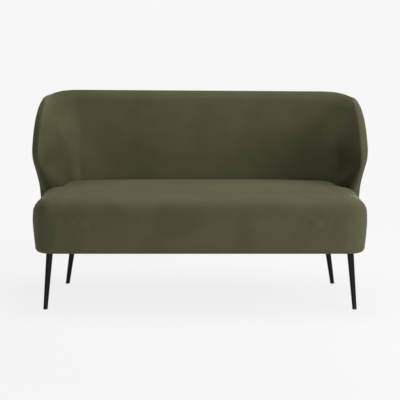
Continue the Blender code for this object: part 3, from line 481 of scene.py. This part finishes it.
def make_seat():
    """The padded seat: crowned, swollen and sewn."""
    seat, edge = make_seat_form()
    remeshed(seat, SEAT_VOXEL)
    right = [point for point in edge
             if point.x > 0 and point.y < NOTCH_Y - SEAT_TOP_ROLL]
    from_edge = distances_from([Vector((-point.x, point.y)) for point in reversed(right)]
                               + right)
    for vert in seat.data.vertices:
        if vert.co.z > SEAT_EDGE_Z - TOP_FACE_BLEND:
            inside = from_edge(vert.co.xy)
            crown = SEAT_CROWN * eased(inside / SEAT_CROWN_REACH)
            crown += SEAT_BROAD_CROWN * eased(inside / SEAT_BROAD_REACH)
            above = vert.co.z - SEAT_EDGE_Z + TOP_FACE_BLEND
            vert.co.z += crown * min(above / TOP_FACE_BLEND, 1)

    def held(place):
        rear = place.y > NOTCH_Y - SEAT_HELD_BEHIND
        low = place.z < UNDERSIDE_Z + SEAT_HELD_BELOW
        return TACKED if rear or low else SEAT_TACK

    padded_out(seat, held)
    rounded(seat)
    sink_seat_lines(seat)
    return seat


def corner_pulls(place):
    """Depth of the slight pulls in the cloth over the top seam, stronger beside the corners."""
    if place.z <= SEAT_SEAM_Z - PULL_BELOW_SEAM or place.y >= FRONT_Y + PULL_REACH:
        return 0
    side = min(abs(place.x) / SEAT_HALF_WIDTH, 1)
    strength = PULL_MIDDLE_SHARE + (1 - PULL_MIDDLE_SHARE) * side ** 3
    reach = crease(place.z - SEAT_SEAM_Z - PULL_ABOVE_SEAM, PULL_HEIGHT)
    stray = PULL_STRAY * noise.noise(place * PULL_STRAY_SCALE)
    phase = place.x * PULL_RATE_ACROSS + stray + place.y * PULL_RATE_BACK
    return PULL_SINK * strength * reach * math.sin(phase)


def sink_seat_lines(seat):
    """The top seam with its pulls, and the fold above the bottom edge with its swell."""
    mesh = seat.data
    normals = [vert.normal.copy() for vert in mesh.vertices]
    for vert, normal in zip(mesh.vertices, normals):
        place = vert.co
        if place.y > NOTCH_Y - SEAT_LINES_END:
            continue
        wave = sum(height * math.sin(place.x * rate + shift)
                   for height, rate, shift in SEAT_SEAM_WAVES)
        seam = crease(place.z - SEAT_SEAM_Z - wave, SEAT_SEAM_WIDTH)
        fold = crease(place.z - SEAT_FOLD_Z, SEAT_FOLD_WIDTH)
        swell = crease(place.z - SEAT_FOLD_Z + SWELL_BELOW_FOLD, SWELL_WIDTH)
        sink = (SEAT_SEAM_SINK * seam + SEAT_FOLD_SINK * fold + corner_pulls(place)
                - SWELL_RISE * swell)
        vert.co = place - normal * sink


# The back

def wrapped(flat):
    """Bend a flat point of the back round the rear and the wings, and lean it back."""
    along, depth, height = flat
    run = abs(along)
    center_y = BACK_REAR_Y - BACK_CORNER
    if run < CORNER_START:
        x, y = run, BACK_REAR_Y - depth
    elif run < CORNER_END:
        turn = (run - CORNER_START) / BACK_CORNER
        x = CORNER_START + (BACK_CORNER - depth) * math.sin(turn)
        y = center_y + (BACK_CORNER - depth) * math.cos(turn)
    else:
        x, y = BACK_HALF_WIDTH - depth, center_y - (run - CORNER_END)
    x = math.copysign(x, along) * side_draw(height)
    uneven = -TOP_UNEVEN * x * max(height - ELBOW_Z, 0) / BACK_UPPER_RISE
    return Vector((x, FRONT_Y + y + lean(height), height + uneven))


def back_outline():
    """The flat outline of the unrolled back: foot, wing, corner and top, on both sides."""
    foot = [Vector((CORNER_END + WING_FOOT_REACH, height))
            for height in (UNDERSIDE_Z - BACK_THICKNESS, UNDERSIDE_Z)]
    lower = [Vector((CORNER_END + WING_REACH * reach, UNDERSIDE_Z + BACK_LOWER_RISE * rise))
             for reach, rise in LOWER_EDGE]
    nose = Vector((CORNER_END + WING_REACH, ELBOW_Z))
    upper = [Vector((CORNER_END + WING_REACH * reach, ELBOW_Z + BACK_UPPER_RISE * rise))
             for reach, rise in UPPER_EDGE]
    arc_length = CORNER_END - CORNER_START
    steps = len(CORNER_RISE)
    corner = [Vector((CORNER_START + arc_length * (steps - 1 - i) / steps,
                      ELBOW_Z + BACK_UPPER_RISE * rise))
              for i, rise in enumerate(reversed(CORNER_RISE))]
    top = [Vector((CORNER_START * share, BACK_TOP_Z)) for share in TOP_SHARES]
    edge = curved_through([foot[1], *lower, nose, *upper, *corner, *top], EDGE_STEPS)
    return both_sides([foot[0], *edge])


def rim_ring(outline, angle):
    """The outline carried round the rounded edge, from the outer face to the inner."""
    inset = RIM_RADIUS - RIM_RADIUS * math.sin(angle)
    depth = RIM_RADIUS - RIM_RADIUS * math.cos(angle)
    moved = moved_in(outline, [inset] * len(outline))
    return [Vector((point.x, depth, point.y)) for point in moved]


def closely(ring, spacing=0.0015):
    """Points of a closed line, close together."""
    places = []
    for i, start in enumerate(ring):
        end = ring[(i + 1) % len(ring)]
        steps = max(int((end - start).length / spacing), 1)
        places += [start.lerp(end, k / steps) for k in range(steps)]
    return places


def make_back_form():
    """The flat closed form of the back, its outer panel marked up to the seam."""
    outline = back_outline()
    angles = [math.pi * i / RIM_STEPS for i in range(RIM_STEPS + 1)]
    bm = ringed_form([rim_ring(outline, angle) for angle in angles])
    whole = [*bm.verts, *bm.edges, *bm.faces]
    cut = bmesh.ops.bisect_plane(bm, geom=whole, dist=0.0001, clear_inner=True,
                                 plane_co=(0, 0, UNDERSIDE_Z), plane_no=(0, 0, 1))
    rim = [item for item in cut["geom_cut"] if isinstance(item, bmesh.types.BMEdge)]
    bmesh.ops.triangle_fill(bm, use_beauty=True, edges=rim)
    back = remeshed(object_from(bm, "back_upholstery"), BACK_VOXEL)
    bm = bmesh.new()
    bm.from_mesh(back.data)
    for face in bm.faces:
        face.material_index = OUTER if face.calc_center_median().y < SEAM_DEPTH else INNER
    seam = closely(rim_ring(outline, SEAM_ANGLE))
    tree = tree_of(seam)
    border = [vert for vert in bm.verts
              if len({face.material_index for face in vert.link_faces}) > 1]
    for vert in border:
        vert.co = tree.find(vert.co)[0]
        vert.co.z = max(vert.co.z, UNDERSIDE_Z)
    beside = {other.other_vert(vert) for vert in border for other in vert.link_edges}
    bmesh.ops.smooth_vert(bm, verts=list(beside - set(border)), factor=0.5,
                          use_axis_x=True, use_axis_y=True, use_axis_z=True)
    bm.to_mesh(back.data)
    bm.free()
    return back, moved_in(outline, [RIM_RADIUS] * len(outline))


def evened(mesh, values, rounds):
    """Values of a mesh's points, brought near the mean of their neighbours in each round."""
    ends = numpy.empty(len(mesh.edges) * 2, dtype=int)
    mesh.edges.foreach_get("vertices", ends)
    first, second = ends[::2], ends[1::2]
    count = len(mesh.vertices)
    neighbours = numpy.bincount(ends, minlength=count)
    values = numpy.array(values)
    for _ in range(rounds):
        sums = (numpy.bincount(first, values[second], count)
                + numpy.bincount(second, values[first], count))
        values = (values + sums / neighbours) / 2
    return values.tolist()


def corner_fill(place, inside):
    """Extra padding that gives the inner corner between the back and a wing a wider curve."""
    run = abs(place.x)
    tight = BACK_CORNER - BACK_THICKNESS
    start = INNER_CORNER - tight
    away = max(CORNER_START - run, run - CORNER_END, 0)
    turn = min(max((run - CORNER_START) / BACK_CORNER, 0), math.pi / 2)
    across = start * (math.sin(turn) + math.cos(turn))
    if away >= start:
        return 0
    if away:
        fill = INNER_CORNER - math.sqrt(INNER_CORNER ** 2 - (start - away) ** 2)
    else:
        fill = tight + across - math.sqrt(INNER_CORNER ** 2 - 2 * start ** 2 + across ** 2)
    below_top = BACK_TOP_Z - place.z - FILL_TOP_GAP
    return (fill * eased(inside / FILL_EDGE_FADE) * eased(below_top / FILL_TOP_FADE)
            * eased((place.z - FILL_LOW_Z) / FILL_LOW_FADE))


def edge_taper(place, from_edge):
    """How much the padding thins, and draws in, towards the free edge of a wing."""
    run = abs(place.x)
    wing = eased((run - CORNER_START) / (CORNER_END - CORNER_START + THINNING_RUN))
    above_seat = place.z - SEAT_EDGE_Z - WING_DRAW_ABOVE_SEAT
    near = (1 - min(from_edge / THINNING_REACH, 1)) ** 2
    near *= eased((above_seat + THINNING_LEAD) / THINNING_RISE)
    rim = (1 - min(from_edge / WING_DRAW_REACH, 1)) ** 2 * eased(above_seat / WING_DRAW_RISE)
    rim *= eased((run - CORNER_END) / WING_DRAW_RUN)
    return near * (TOP_THINNING + (WING_THINNING - TOP_THINNING) * wing), rim * WING_DRAW


def make_back():
    """The padded back, bent round and swollen, still in one piece."""
    back, edge = make_back_form()
    outer_places = set()
    for face in back.data.polygons:
        if face.material_index == OUTER:
            outer_places.update(face.vertices)
    outline = back_outline()
    from_rim = distances_from(outline + outline[:1])
    from_edge = distances_from(edge + edge[:1])
    flat = [vert.co.copy() for vert in back.data.vertices]
    tapers = [edge_taper(place, from_rim(place.xz)) for place in flat]
    thinnings = evened(back.data, [thinning for thinning, _ in tapers], THINNING_ROUNDS)
    insides = [from_edge(place.xz) for place in flat]
    fills = evened(back.data, [BACK_CROWN * eased(inside / BACK_CROWN_REACH)
                               + corner_fill(place, inside)
                               for place, inside in zip(flat, insides)], FILL_ROUNDS)
    for vert, place, (_, draw), thinning, fill in zip(back.data.vertices, flat, tapers,
                                                      thinnings, fills):
        inner = (place.y - BACK_THICKNESS + INNER_FACE_BLEND) / INNER_FACE_BLEND
        inner = min(max(inner, 0), 1)
        place.y = (place.y + fill * inner) * (1 - thinning) + draw
        vert.co = wrapped(place)
    back.data.flip_normals()
    tree = tree_of([back.data.vertices[i].co for i in outer_places])

    def held(place):
        outer = tree.find(place)[2] < SAME_PLACE
        return TACKED if outer or place.z < SEAT_EDGE_Z + BACK_HELD_BELOW else BACK_TACK

    padded_out(back, held)
    return rounded(back)


def sew_back(back):
    """Sink the seam between the panels and the two upright seams behind."""
    mesh = back.data
    sides = [set() for _ in mesh.vertices]
    for face in mesh.polygons:
        for i in face.vertices:
            sides[i].add(face.material_index)
    seam = [vert.co.copy() for vert in mesh.vertices if len(sides[vert.index]) > 1]
    tree = tree_of(seam)
    moves = []
    for vert in mesh.vertices:
        place = vert.co
        depth = PANEL_SEAM_SINK * crease(tree.find(place)[2], PANEL_SEAM_WIDTH)
        behind = place.y > FRONT_Y + BACK_REAR_Y - REAR_SEAM_DEPTH
        if behind and OUTER in sides[vert.index]:
            joint = abs(abs(place.x) - REAR_SEAM_X * side_draw(place.z))
            depth = max(depth, REAR_SEAM_SINK * crease(joint, REAR_SEAM_WIDTH))
        moves.append(vert.normal * -depth)
    for vert, move in zip(mesh.vertices, moves):
        vert.co += move


def panel_of(back, name, kept):
    """One panel of the back, with its seam allowance folded inside."""
    bm = bmesh.new()
    bm.from_mesh(back.data)
    others = [face for face in bm.faces if face.material_index != kept]
    bmesh.ops.delete(bm, geom=others, context="FACES")
    edge = [item for item in bm.edges if item.is_boundary]
    for item in edge:
        item.smooth = False
    inward = {vert: -vert.normal.copy() for item in edge for vert in item.verts}
    folded = bmesh.ops.extrude_edge_only(bm, edges=edge)["geom"]
    for vert in [item for item in folded if isinstance(item, bmesh.types.BMVert)]:
        source = min((item.other_vert(vert) for item in vert.link_edges),
                     key=lambda other: (other.co - vert.co).length)
        vert.co += inward.get(source, Vector()) * SEAM_ALLOWANCE
    for face in bm.faces:
        face.material_index = 0
        face.smooth = True
    return object_from(bm, name, closed=False)


# Small parts

def staple_line():
    """The closed line along the edge of the dust cover that the staples follow."""
    margin = SEAT_DRAFT + SEAT_BOTTOM_ROLL + DUST_COVER_MARGIN + STAPLE_INSET
    half = arc((SEAT_HALF_WIDTH - SEAT_FRONT_CORNER, SEAT_FRONT_CORNER),
               SEAT_FRONT_CORNER - margin, -1, 0)
    rear_radius = BACK_CORNER - DUST_COVER_MARGIN - STAPLE_INSET
    rear = CORNER_START * side_draw(UNDERSIDE_Z), BACK_REAR_Y - BACK_CORNER
    half.append(Vector((SEAT_HALF_WIDTH - margin, SEAT_NOTCH_Y - STAPLE_JOG)))
    half.append(Vector((rear[0] + rear_radius, SEAT_NOTCH_Y + STAPLE_JOG)))
    half += arc(rear, rear_radius, 0, 1)
    return both_sides(half)


def make_staples():
    """Wire staples along the edge of the dust cover, left out under the legs."""
    line = staple_line()
    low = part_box("dust_cover")[0][2]
    bm = bmesh.new()
    travelled = 0.0
    for i, start in enumerate(line):
        end = line[(i + 1) % len(line)]
        length = (end - start).length
        along = (end - start).normalized()
        while travelled < length:
            place = start + along * travelled
            travelled += STAPLE_PITCH
            mirrored = Vector((abs(place.x), place.y))
            if min((mirrored - Vector(top)).length for top in LEG_TOPS) >= STAPLE_LEG_GAP:
                add_staple(bm, place + Vector((0, FRONT_Y)), along, low)
        travelled -= length
    return object_from(bm, "dust_cover_staples")


def add_staple(bm, place, along, height):
    """One staple: a flat wire crown whose ends dip into the cloth."""
    across = Vector((-along.y, along.x, 0))
    along = along.to_3d()
    center = place.to_3d() + Vector((0, 0, height))
    sections = []
    for reach, sink in STAPLE_BENDS:
        middle = center + along * reach - Vector((0, 0, sink))
        sections.append([
            bm.verts.new(middle + across * side * STAPLE_HALF_WIDTH
                         + Vector((0, 0, up * STAPLE_HALF_HEIGHT)))
            for side, up in ((-1, -1), (1, -1), (1, 1), (-1, 1))])
    for first, second in zip(sections, sections[1:]):
        for i in range(4):
            k = (i + 1) % 4
            bm.faces.new((first[i], first[k], second[k], second[i]))
    bm.faces.new(list(reversed(sections[0])))
    bm.faces.new(sections[-1])


# Finishes

class Level:
    """One value in a finish. An expression on levels adds its Math nodes."""

    def __init__(self, finish, socket):
        self.finish = finish
        self.socket = socket

    def maths(self, operation, first, second, third=0.0):
        """The level that a Math node gives."""
        return self.finish.node("ShaderNodeMath", {"operation": operation},
                                {0: first, 1: second, 2: third})

    def __add__(self, other):
        return self.maths("ADD", self, other)

    def __sub__(self, other):
        return self.maths("SUBTRACT", self, other)

    def __rsub__(self, other):
        return self.maths("SUBTRACT", other, self)

    def __mul__(self, other):
        return self.maths("MULTIPLY", self, other)

    def __truediv__(self, other):
        return self.maths("DIVIDE", self, other)

    __radd__ = __add__
    __rmul__ = __mul__

    def sine(self):
        return self.maths("SINE", self, 0.0)

    def at_most(self, other):
        return self.maths("MINIMUM", self, other)

    def at_least(self, other):
        return self.maths("MAXIMUM", self, other)

    def clamped(self):
        return self.at_least(0.0).at_most(1.0)

    def near(self, middle, width):
        """1 at middle, falling to 0 at width away on either side."""
        away = self.maths("ABSOLUTE", self - middle, 0.0)
        return (1 - away / width).clamped()

    def between(self, low, high):
        """0 at low, 1 at high, eased."""
        return self.finish.node("ShaderNodeMapRange", {"interpolation_type": "SMOOTHSTEP"},
                                {"Value": self, "From Min": low, "From Max": high})


class Finish:
    """A node tree with short ways to add its nodes."""

    def __init__(self, tree):
        self.tree = tree

    def node(self, kind, settings=None, inputs=None, output=0):
        """Add a node: its settings first, then the values or links of its sockets."""
        made = self.tree.nodes.new(kind)
        for name, value in (settings or {}).items():
            setattr(made, name, value)
        for name, value in (inputs or {}).items():
            self.feed(made.inputs[name], value)
        return Level(self, made.outputs[output])

    def feed(self, socket, value):
        if isinstance(value, Level):
            self.tree.links.new(value.socket, socket)
        else:
            socket.default_value = value

    def place(self, stretch=(1, 1, 1)):
        """The place on the object, in metres, stretched for grain."""
        here = self.node("ShaderNodeTexCoord", output="Object")
        return self.node("ShaderNodeVectorMath", {"operation": "MULTIPLY"},
                         {0: here, 1: stretch})

    def axis(self, name):
        """One coordinate on the object, in metres."""
        here = self.node("ShaderNodeTexCoord", output="Object")
        return self.node("ShaderNodeSeparateXYZ", inputs={0: here}, output=name)

    def cloudy(self, scale, detail=2.0, warp=0.0, stretch=(1, 1, 1)):
        """Soft irregular patches."""
        return self.node("ShaderNodeTexNoise", inputs={
            "Vector": self.place(stretch), "Scale": scale, "Detail": detail,
            "Distortion": warp})

    def cells(self, scale):
        """Small cells: 0 in the middle of each, higher towards its edge."""
        return self.node("ShaderNodeTexVoronoi", inputs={
            "Vector": self.place(), "Scale": scale})

    def blend(self, share, first, second):
        """The first colour at 0 and the second at 1."""
        return self.node("ShaderNodeMix", {"data_type": "RGBA"},
                         {0: share, 6: first, 7: second}, output=2)

    def scaled(self, color, level):
        """A colour made lighter or darker by a level."""
        return self.node("ShaderNodeVectorMath", {"operation": "SCALE"},
                         {0: color, 3: level})

    def relief(self, height, distance, strength):
        """Fine unevenness of the surface, for the Normal socket."""
        return self.node("ShaderNodeBump", inputs={
            "Strength": strength, "Distance": distance, "Height": height})


class Material(Finish):
    """A material with one Principled shader."""

    def __init__(self, name):
        self.data = bpy.data.materials.new(name)
        self.data.use_nodes = True
        super().__init__(self.data.node_tree)
        self.surface = self.tree.nodes["Principled BSDF"]

    def set(self, **values):
        """Feed the shader's sockets and give the finished material."""
        for name, value in values.items():
            self.feed(self.surface.inputs[name.replace("_", " ")], value)
        return self.data


def tone(red, green, blue):
    """A colour for a socket."""
    return red, green, blue, 1.0


def grey(lightness):
    """A colour without a hue."""
    return tone(lightness, lightness, lightness)


def olive_velvet(name, gloss, sheen):
    """Short-pile velvet. Its gloss and sheen depend on which way a panel's pile lies."""
    cloth = Material(name)
    brushed = cloth.cloudy(5.0, 2.0, 0.9)
    strokes = cloth.cloudy(22.0, 2.0, 0.3, (0.45, 1, 1))
    nap = (brushed * 0.72 + strokes * 0.28).between(0.34, 0.66)
    pile = cloth.cloudy(620.0, 2.0)
    tufts = cloth.cloudy(210.0, 1.0)
    height = cloth.axis("Z")
    rubbed = height.near(0.445, 0.020) + height.near(0.838, 0.024) * 0.3
    color = cloth.blend(nap, tone(*VELVET_DEEP), tone(*VELVET_FULL))
    color = cloth.scaled(color, 0.90 + pile * 0.14 + tufts * 0.06 + rubbed.clamped() * 0.06)
    rough = 0.66 + nap * 0.10 + pile * 0.12 - rubbed.clamped() * 0.06
    return cloth.set(Base_Color=color, Roughness=rough,
                     Normal=cloth.relief(pile * 0.7 + tufts * 0.5, 0.0008, 0.5),
                     Specular_IOR_Level=gloss, Sheen_Weight=sheen, Sheen_Roughness=0.40,
                     Sheen_Tint=tone(*VELVET_SHEEN))


def black_leg_paint():
    """Black paint with a slight peel, scuffed towards the foot."""
    paint = Material("black_leg_paint")
    peel = paint.cloudy(900.0, 2.0)
    haze = paint.cloudy(30.0, 3.0)
    low = 1 - paint.axis("Z").between(0.010, 0.045)
    scuffed = low * paint.cloudy(160.0, 3.0).between(0.50, 0.66)
    color = paint.blend(scuffed * 0.6, tone(0.0075, 0.0075, 0.008), tone(0.045, 0.044, 0.042))
    return paint.set(Base_Color=color, Roughness=0.18 + haze * 0.08 + scuffed * 0.25,
                     Normal=paint.relief(peel, 0.0002, 0.2), Specular_IOR_Level=0.10)


def glide_plastic():
    """Dull black plastic, worn grey where it stands on the floor."""
    plastic = Material("glide_plastic")
    grain = plastic.cloudy(1100.0, 2.0)
    worn = (1 - plastic.axis("Z").between(0.0, 0.004)) * plastic.cloudy(300.0, 2.0)
    color = plastic.blend(worn, tone(0.016, 0.016, 0.016), tone(0.05, 0.048, 0.045))
    return plastic.set(Base_Color=color, Roughness=0.52 + grain * 0.12,
                       Normal=plastic.relief(grain, 0.0002, 0.3))


def zinc_plate():
    """Bright zinc with faint crystals."""
    zinc = Material("zinc_plate")
    spangle = zinc.cells(260.0)
    dull = zinc.cloudy(60.0, 3.0)
    color = zinc.blend(dull, tone(0.58, 0.59, 0.60), tone(0.70, 0.69, 0.64))
    rough = 0.26 + dull * 0.18 + spangle * 0.05
    return zinc.set(Base_Color=color, Metallic=1.0, Roughness=rough,
                    Normal=zinc.relief(spangle, 0.0002, 0.15))


def spring_wire():
    """Oiled dark wire with fine lines from drawing."""
    wire = Material("spring_wire")
    drawn = wire.cloudy(80.0, 2.0, 0.0, (12, 1, 12))
    oiled = wire.cloudy(18.0, 2.0)
    color = wire.blend(oiled, tone(0.16, 0.155, 0.15), tone(0.30, 0.29, 0.28))
    return wire.set(Base_Color=color, Metallic=1.0, Roughness=0.32 + drawn * 0.2,
                    Normal=wire.relief(drawn, 0.0002, 0.2))


def planed_pine(name, stretch):
    """Pine with its grain along the direction that stretch leaves short."""
    wood = Material(name)
    sway = wood.cloudy(9.0, 2.0, 0.4, stretch)
    rings = (sway * 62.0).sine() * 0.5 + 0.5
    fibre = wood.cloudy(260.0, 3.0, 0.0, stretch)
    late = rings.between(0.35, 0.95)
    color = wood.blend(late, tone(0.60, 0.42, 0.24), tone(0.44, 0.27, 0.13))
    color = wood.scaled(color, 0.86 + fibre * 0.26)
    return wood.set(Base_Color=color, Roughness=0.55 + fibre * 0.18 - rings * 0.06,
                    Normal=wood.relief(fibre + rings * 0.4, 0.0003, 0.4))


def bent_plywood():
    """Plywood with its layers as thin stripes across it."""
    wood = Material("bent_plywood")
    layers = (wood.axis("X") * 2600.0).sine().between(-0.2, 0.2)
    fibre = wood.cloudy(190.0, 3.0, 0.2, (1, 1, 0.08))
    color = wood.blend(layers * 0.5, tone(0.56, 0.41, 0.25), tone(0.47, 0.33, 0.19))
    color = wood.scaled(color, 0.84 + fibre * 0.28)
    return wood.set(Base_Color=color, Roughness=0.58 + fibre * 0.14,
                    Normal=wood.relief(fibre, 0.0003, 0.35))


def rubber_webbing():
    """Elastic webbing in a coarse brown weave."""
    web = Material("rubber_webbing")
    warp = (web.axis("X") * 2400.0).sine()
    weft = (web.axis("Z") * 1500.0).sine()
    knit = warp * weft * 0.5 + 0.5
    dust = web.cloudy(40.0, 3.0)
    color = web.blend(knit * 0.6 + dust * 0.4, tone(0.20, 0.165, 0.13), tone(0.30, 0.25, 0.20))
    return web.set(Base_Color=color, Roughness=0.72 + knit * 0.12,
                   Normal=web.relief(knit, 0.0004, 0.5))


def liner_card():
    """Brown fibre card."""
    card = Material("liner_card")
    fibre = card.cloudy(320.0, 4.0, 0.6, (1, 1, 0.5))
    blotch = card.cloudy(14.0, 3.0)
    color = card.blend(blotch, tone(0.40, 0.30, 0.19), tone(0.48, 0.37, 0.25))
    color = card.scaled(color, 0.88 + fibre * 0.24)
    return card.set(Base_Color=color, Roughness=0.78 + fibre * 0.14,
                    Normal=card.relief(fibre, 0.0003, 0.35))


def black_nonwoven():
    """Spun cloth with a grid of small pressed points."""
    cloth = Material("black_nonwoven")
    across, along = cloth.axis("X"), cloth.axis("Y")
    points = ((across * 2100.0).sine() * (along * 2100.0).sine()).between(0.35, 0.9)
    fibre = cloth.cloudy(420.0, 4.0, 1.2)
    lint = cloth.cloudy(26.0, 3.0)
    color = cloth.blend(fibre * 0.6 + lint * 0.4, tone(0.012, 0.012, 0.013),
                        tone(0.040, 0.040, 0.041))
    return cloth.set(Base_Color=color, Roughness=0.80 + fibre * 0.14 - points * 0.25,
                     Normal=cloth.relief(fibre * 0.5 - points, 0.0003, 0.5),
                     Specular_IOR_Level=0.25)


ALONG_X, ALONG_Y, ALONG_Z = (0.06, 1, 1), (1, 0.06, 1), (1, 1, 0.06)
pine = {"x": planed_pine("pine_along_x", ALONG_X), "y": planed_pine("pine_along_y", ALONG_Y),
        "z": planed_pine("pine_upright", ALONG_Z)}
seat_velvet = olive_velvet("seat_velvet", 0.15, 0.08)
back_velvet = olive_velvet("back_velvet", 0.08, 0.02)
zinc = zinc_plate()
node_finishes = {
    "zinc_steel": zinc, "spring_steel": spring_wire(), "plywood": bent_plywood(),
    "webbing": rubber_webbing(), "liner_card": liner_card(),
    "black_nonwoven": black_nonwoven(), "leg_paint": black_leg_paint(),
    "glide_plastic": glide_plastic(),
}


def grain_way(name):
    """The axis that a pine piece runs along."""
    if "side_rail" in name or "centre_rail" in name:
        return "y"
    if "post" in name:
        return "z"
    return "x"


for part in frame["record"]["subparts"]:
    name, slot = part["node"], part["material_slot"]
    finish = pine[grain_way(name)] if slot == "pine" else node_finishes.get(slot)
    if finish:
        for holder in frame["nodes"][name].material_slots:
            holder.material = finish


# Pieces

def add_piece(piece, finish, replaced=()):
    """Give a piece its finish and body, and hide the CAD nodes it stands for."""
    piece.data.materials.clear()
    piece.data.materials.append(finish)
    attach(piece, "root")
    if replaced:
        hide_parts(*replaced)


seat = make_seat()
add_piece(seat, seat_velvet,
          ("seat_cover", "seat_foam", "seat_wadding", "spring_pad"))
back = make_back()
sew_back(back)
inner = panel_of(back, "back_inner_panel", INNER)
outer = panel_of(back, "back_outer_panel", OUTER)
bpy.data.objects.remove(back)
add_piece(inner, back_velvet, ("inside_back_cover", "back_foam"))
add_piece(outer, back_velvet, ("outside_back_cover", "back_liner"))
add_piece(make_staples(), zinc)


# Camera

camera_data = bpy.data.cameras.new("camera")
camera_data.lens = CAMERA_LENS
camera_data.shift_y = CAMERA_SHIFT
camera = bpy.data.objects.new("camera", camera_data)
camera.location = CAMERA_PLACE
camera.rotation_euler = (math.radians(90 - CAMERA_DOWN), 0, 0)
bpy.context.scene.collection.objects.link(camera)
bpy.context.scene.camera = camera


# Light, floor and backdrop

def soft_light(name, place, size, power):
    """A round lamp that looks at the sofa."""
    data = bpy.data.lights.new(name, "AREA")
    data.shape = "DISK"
    data.size = size
    data.energy = power
    lamp = bpy.data.objects.new(name, data)
    lamp.location = place
    aim = Vector(LIGHT_TARGET) - Vector(place)
    lamp.rotation_euler = aim.to_track_quat("-Z", "Y").to_euler()
    bpy.context.scene.collection.objects.link(lamp)


for studio_light in STUDIO_LIGHTS:
    soft_light(*studio_light)


def shown_directly(finish):
    """1 for rays that see the studio itself: the camera's, mirrored and refracted ones."""
    seen = finish.node("ShaderNodeLightPath", output="Is Camera Ray")
    mirrored = finish.node("ShaderNodeLightPath", output="Is Glossy Ray")
    refracted = finish.node("ShaderNodeLightPath", output="Is Transmission Ray")
    return (seen + mirrored + refracted).clamped()


world = bpy.data.worlds.new("studio")
world.use_nodes = True
bpy.context.scene.world = world
studio = Finish(world.node_tree)
studio.feed(world.node_tree.nodes["Background"].inputs["Color"],
            studio.blend(shown_directly(studio), grey(AMBIENT), grey(BACKDROP)))


def studio_floor():
    """A pale floor that shades faintly under the sofa and runs into the backdrop."""
    material = bpy.data.materials.new("studio_floor")
    material.use_nodes = True
    floor = Finish(material.node_tree)
    out = material.node_tree.nodes["Material Output"]
    far = floor.node("ShaderNodeVectorMath", {"operation": "LENGTH"},
                     {0: floor.place()}, output="Value")
    far = far.between(FLOOR_FADE_START, FLOOR_FADE_END)
    grain = floor.cloudy(3.0)
    matt = floor.node("ShaderNodeBsdfDiffuse", inputs={
        "Color": floor.blend(grain, grey(FLOOR_DARK), grey(FLOOR_LIGHT))})
    plain = floor.node("ShaderNodeEmission", inputs={"Color": grey(BACKDROP)})
    share = shown_directly(floor) * (FLOOR_SHARE + far * (1 - FLOOR_SHARE))
    lit = floor.node("ShaderNodeMixShader", inputs={0: share, 1: matt, 2: plain})
    below = floor.node("ShaderNodeNewGeometry", output="Backfacing")
    clear = floor.node("ShaderNodeBsdfTransparent")
    mixed = floor.node("ShaderNodeMixShader", inputs={0: below, 1: lit, 2: clear})
    material.node_tree.links.new(mixed.socket, out.inputs["Surface"])
    return material


def add_floor():
    """A round floor, large enough to reach behind every view."""
    bm = bmesh.new()
    bmesh.ops.create_circle(bm, cap_ends=True, segments=FLOOR_SEGMENTS,
                              radius=FLOOR_RADIUS)
    mesh = bpy.data.meshes.new("floor")
    bm.to_mesh(mesh)
    bm.free()
    mesh.materials.append(studio_floor())
    floor = bpy.data.objects.new("floor", mesh)
    bpy.context.scene.collection.objects.link(floor)


add_floor()
bpy.context.scene.view_settings.view_transform = "Standard"
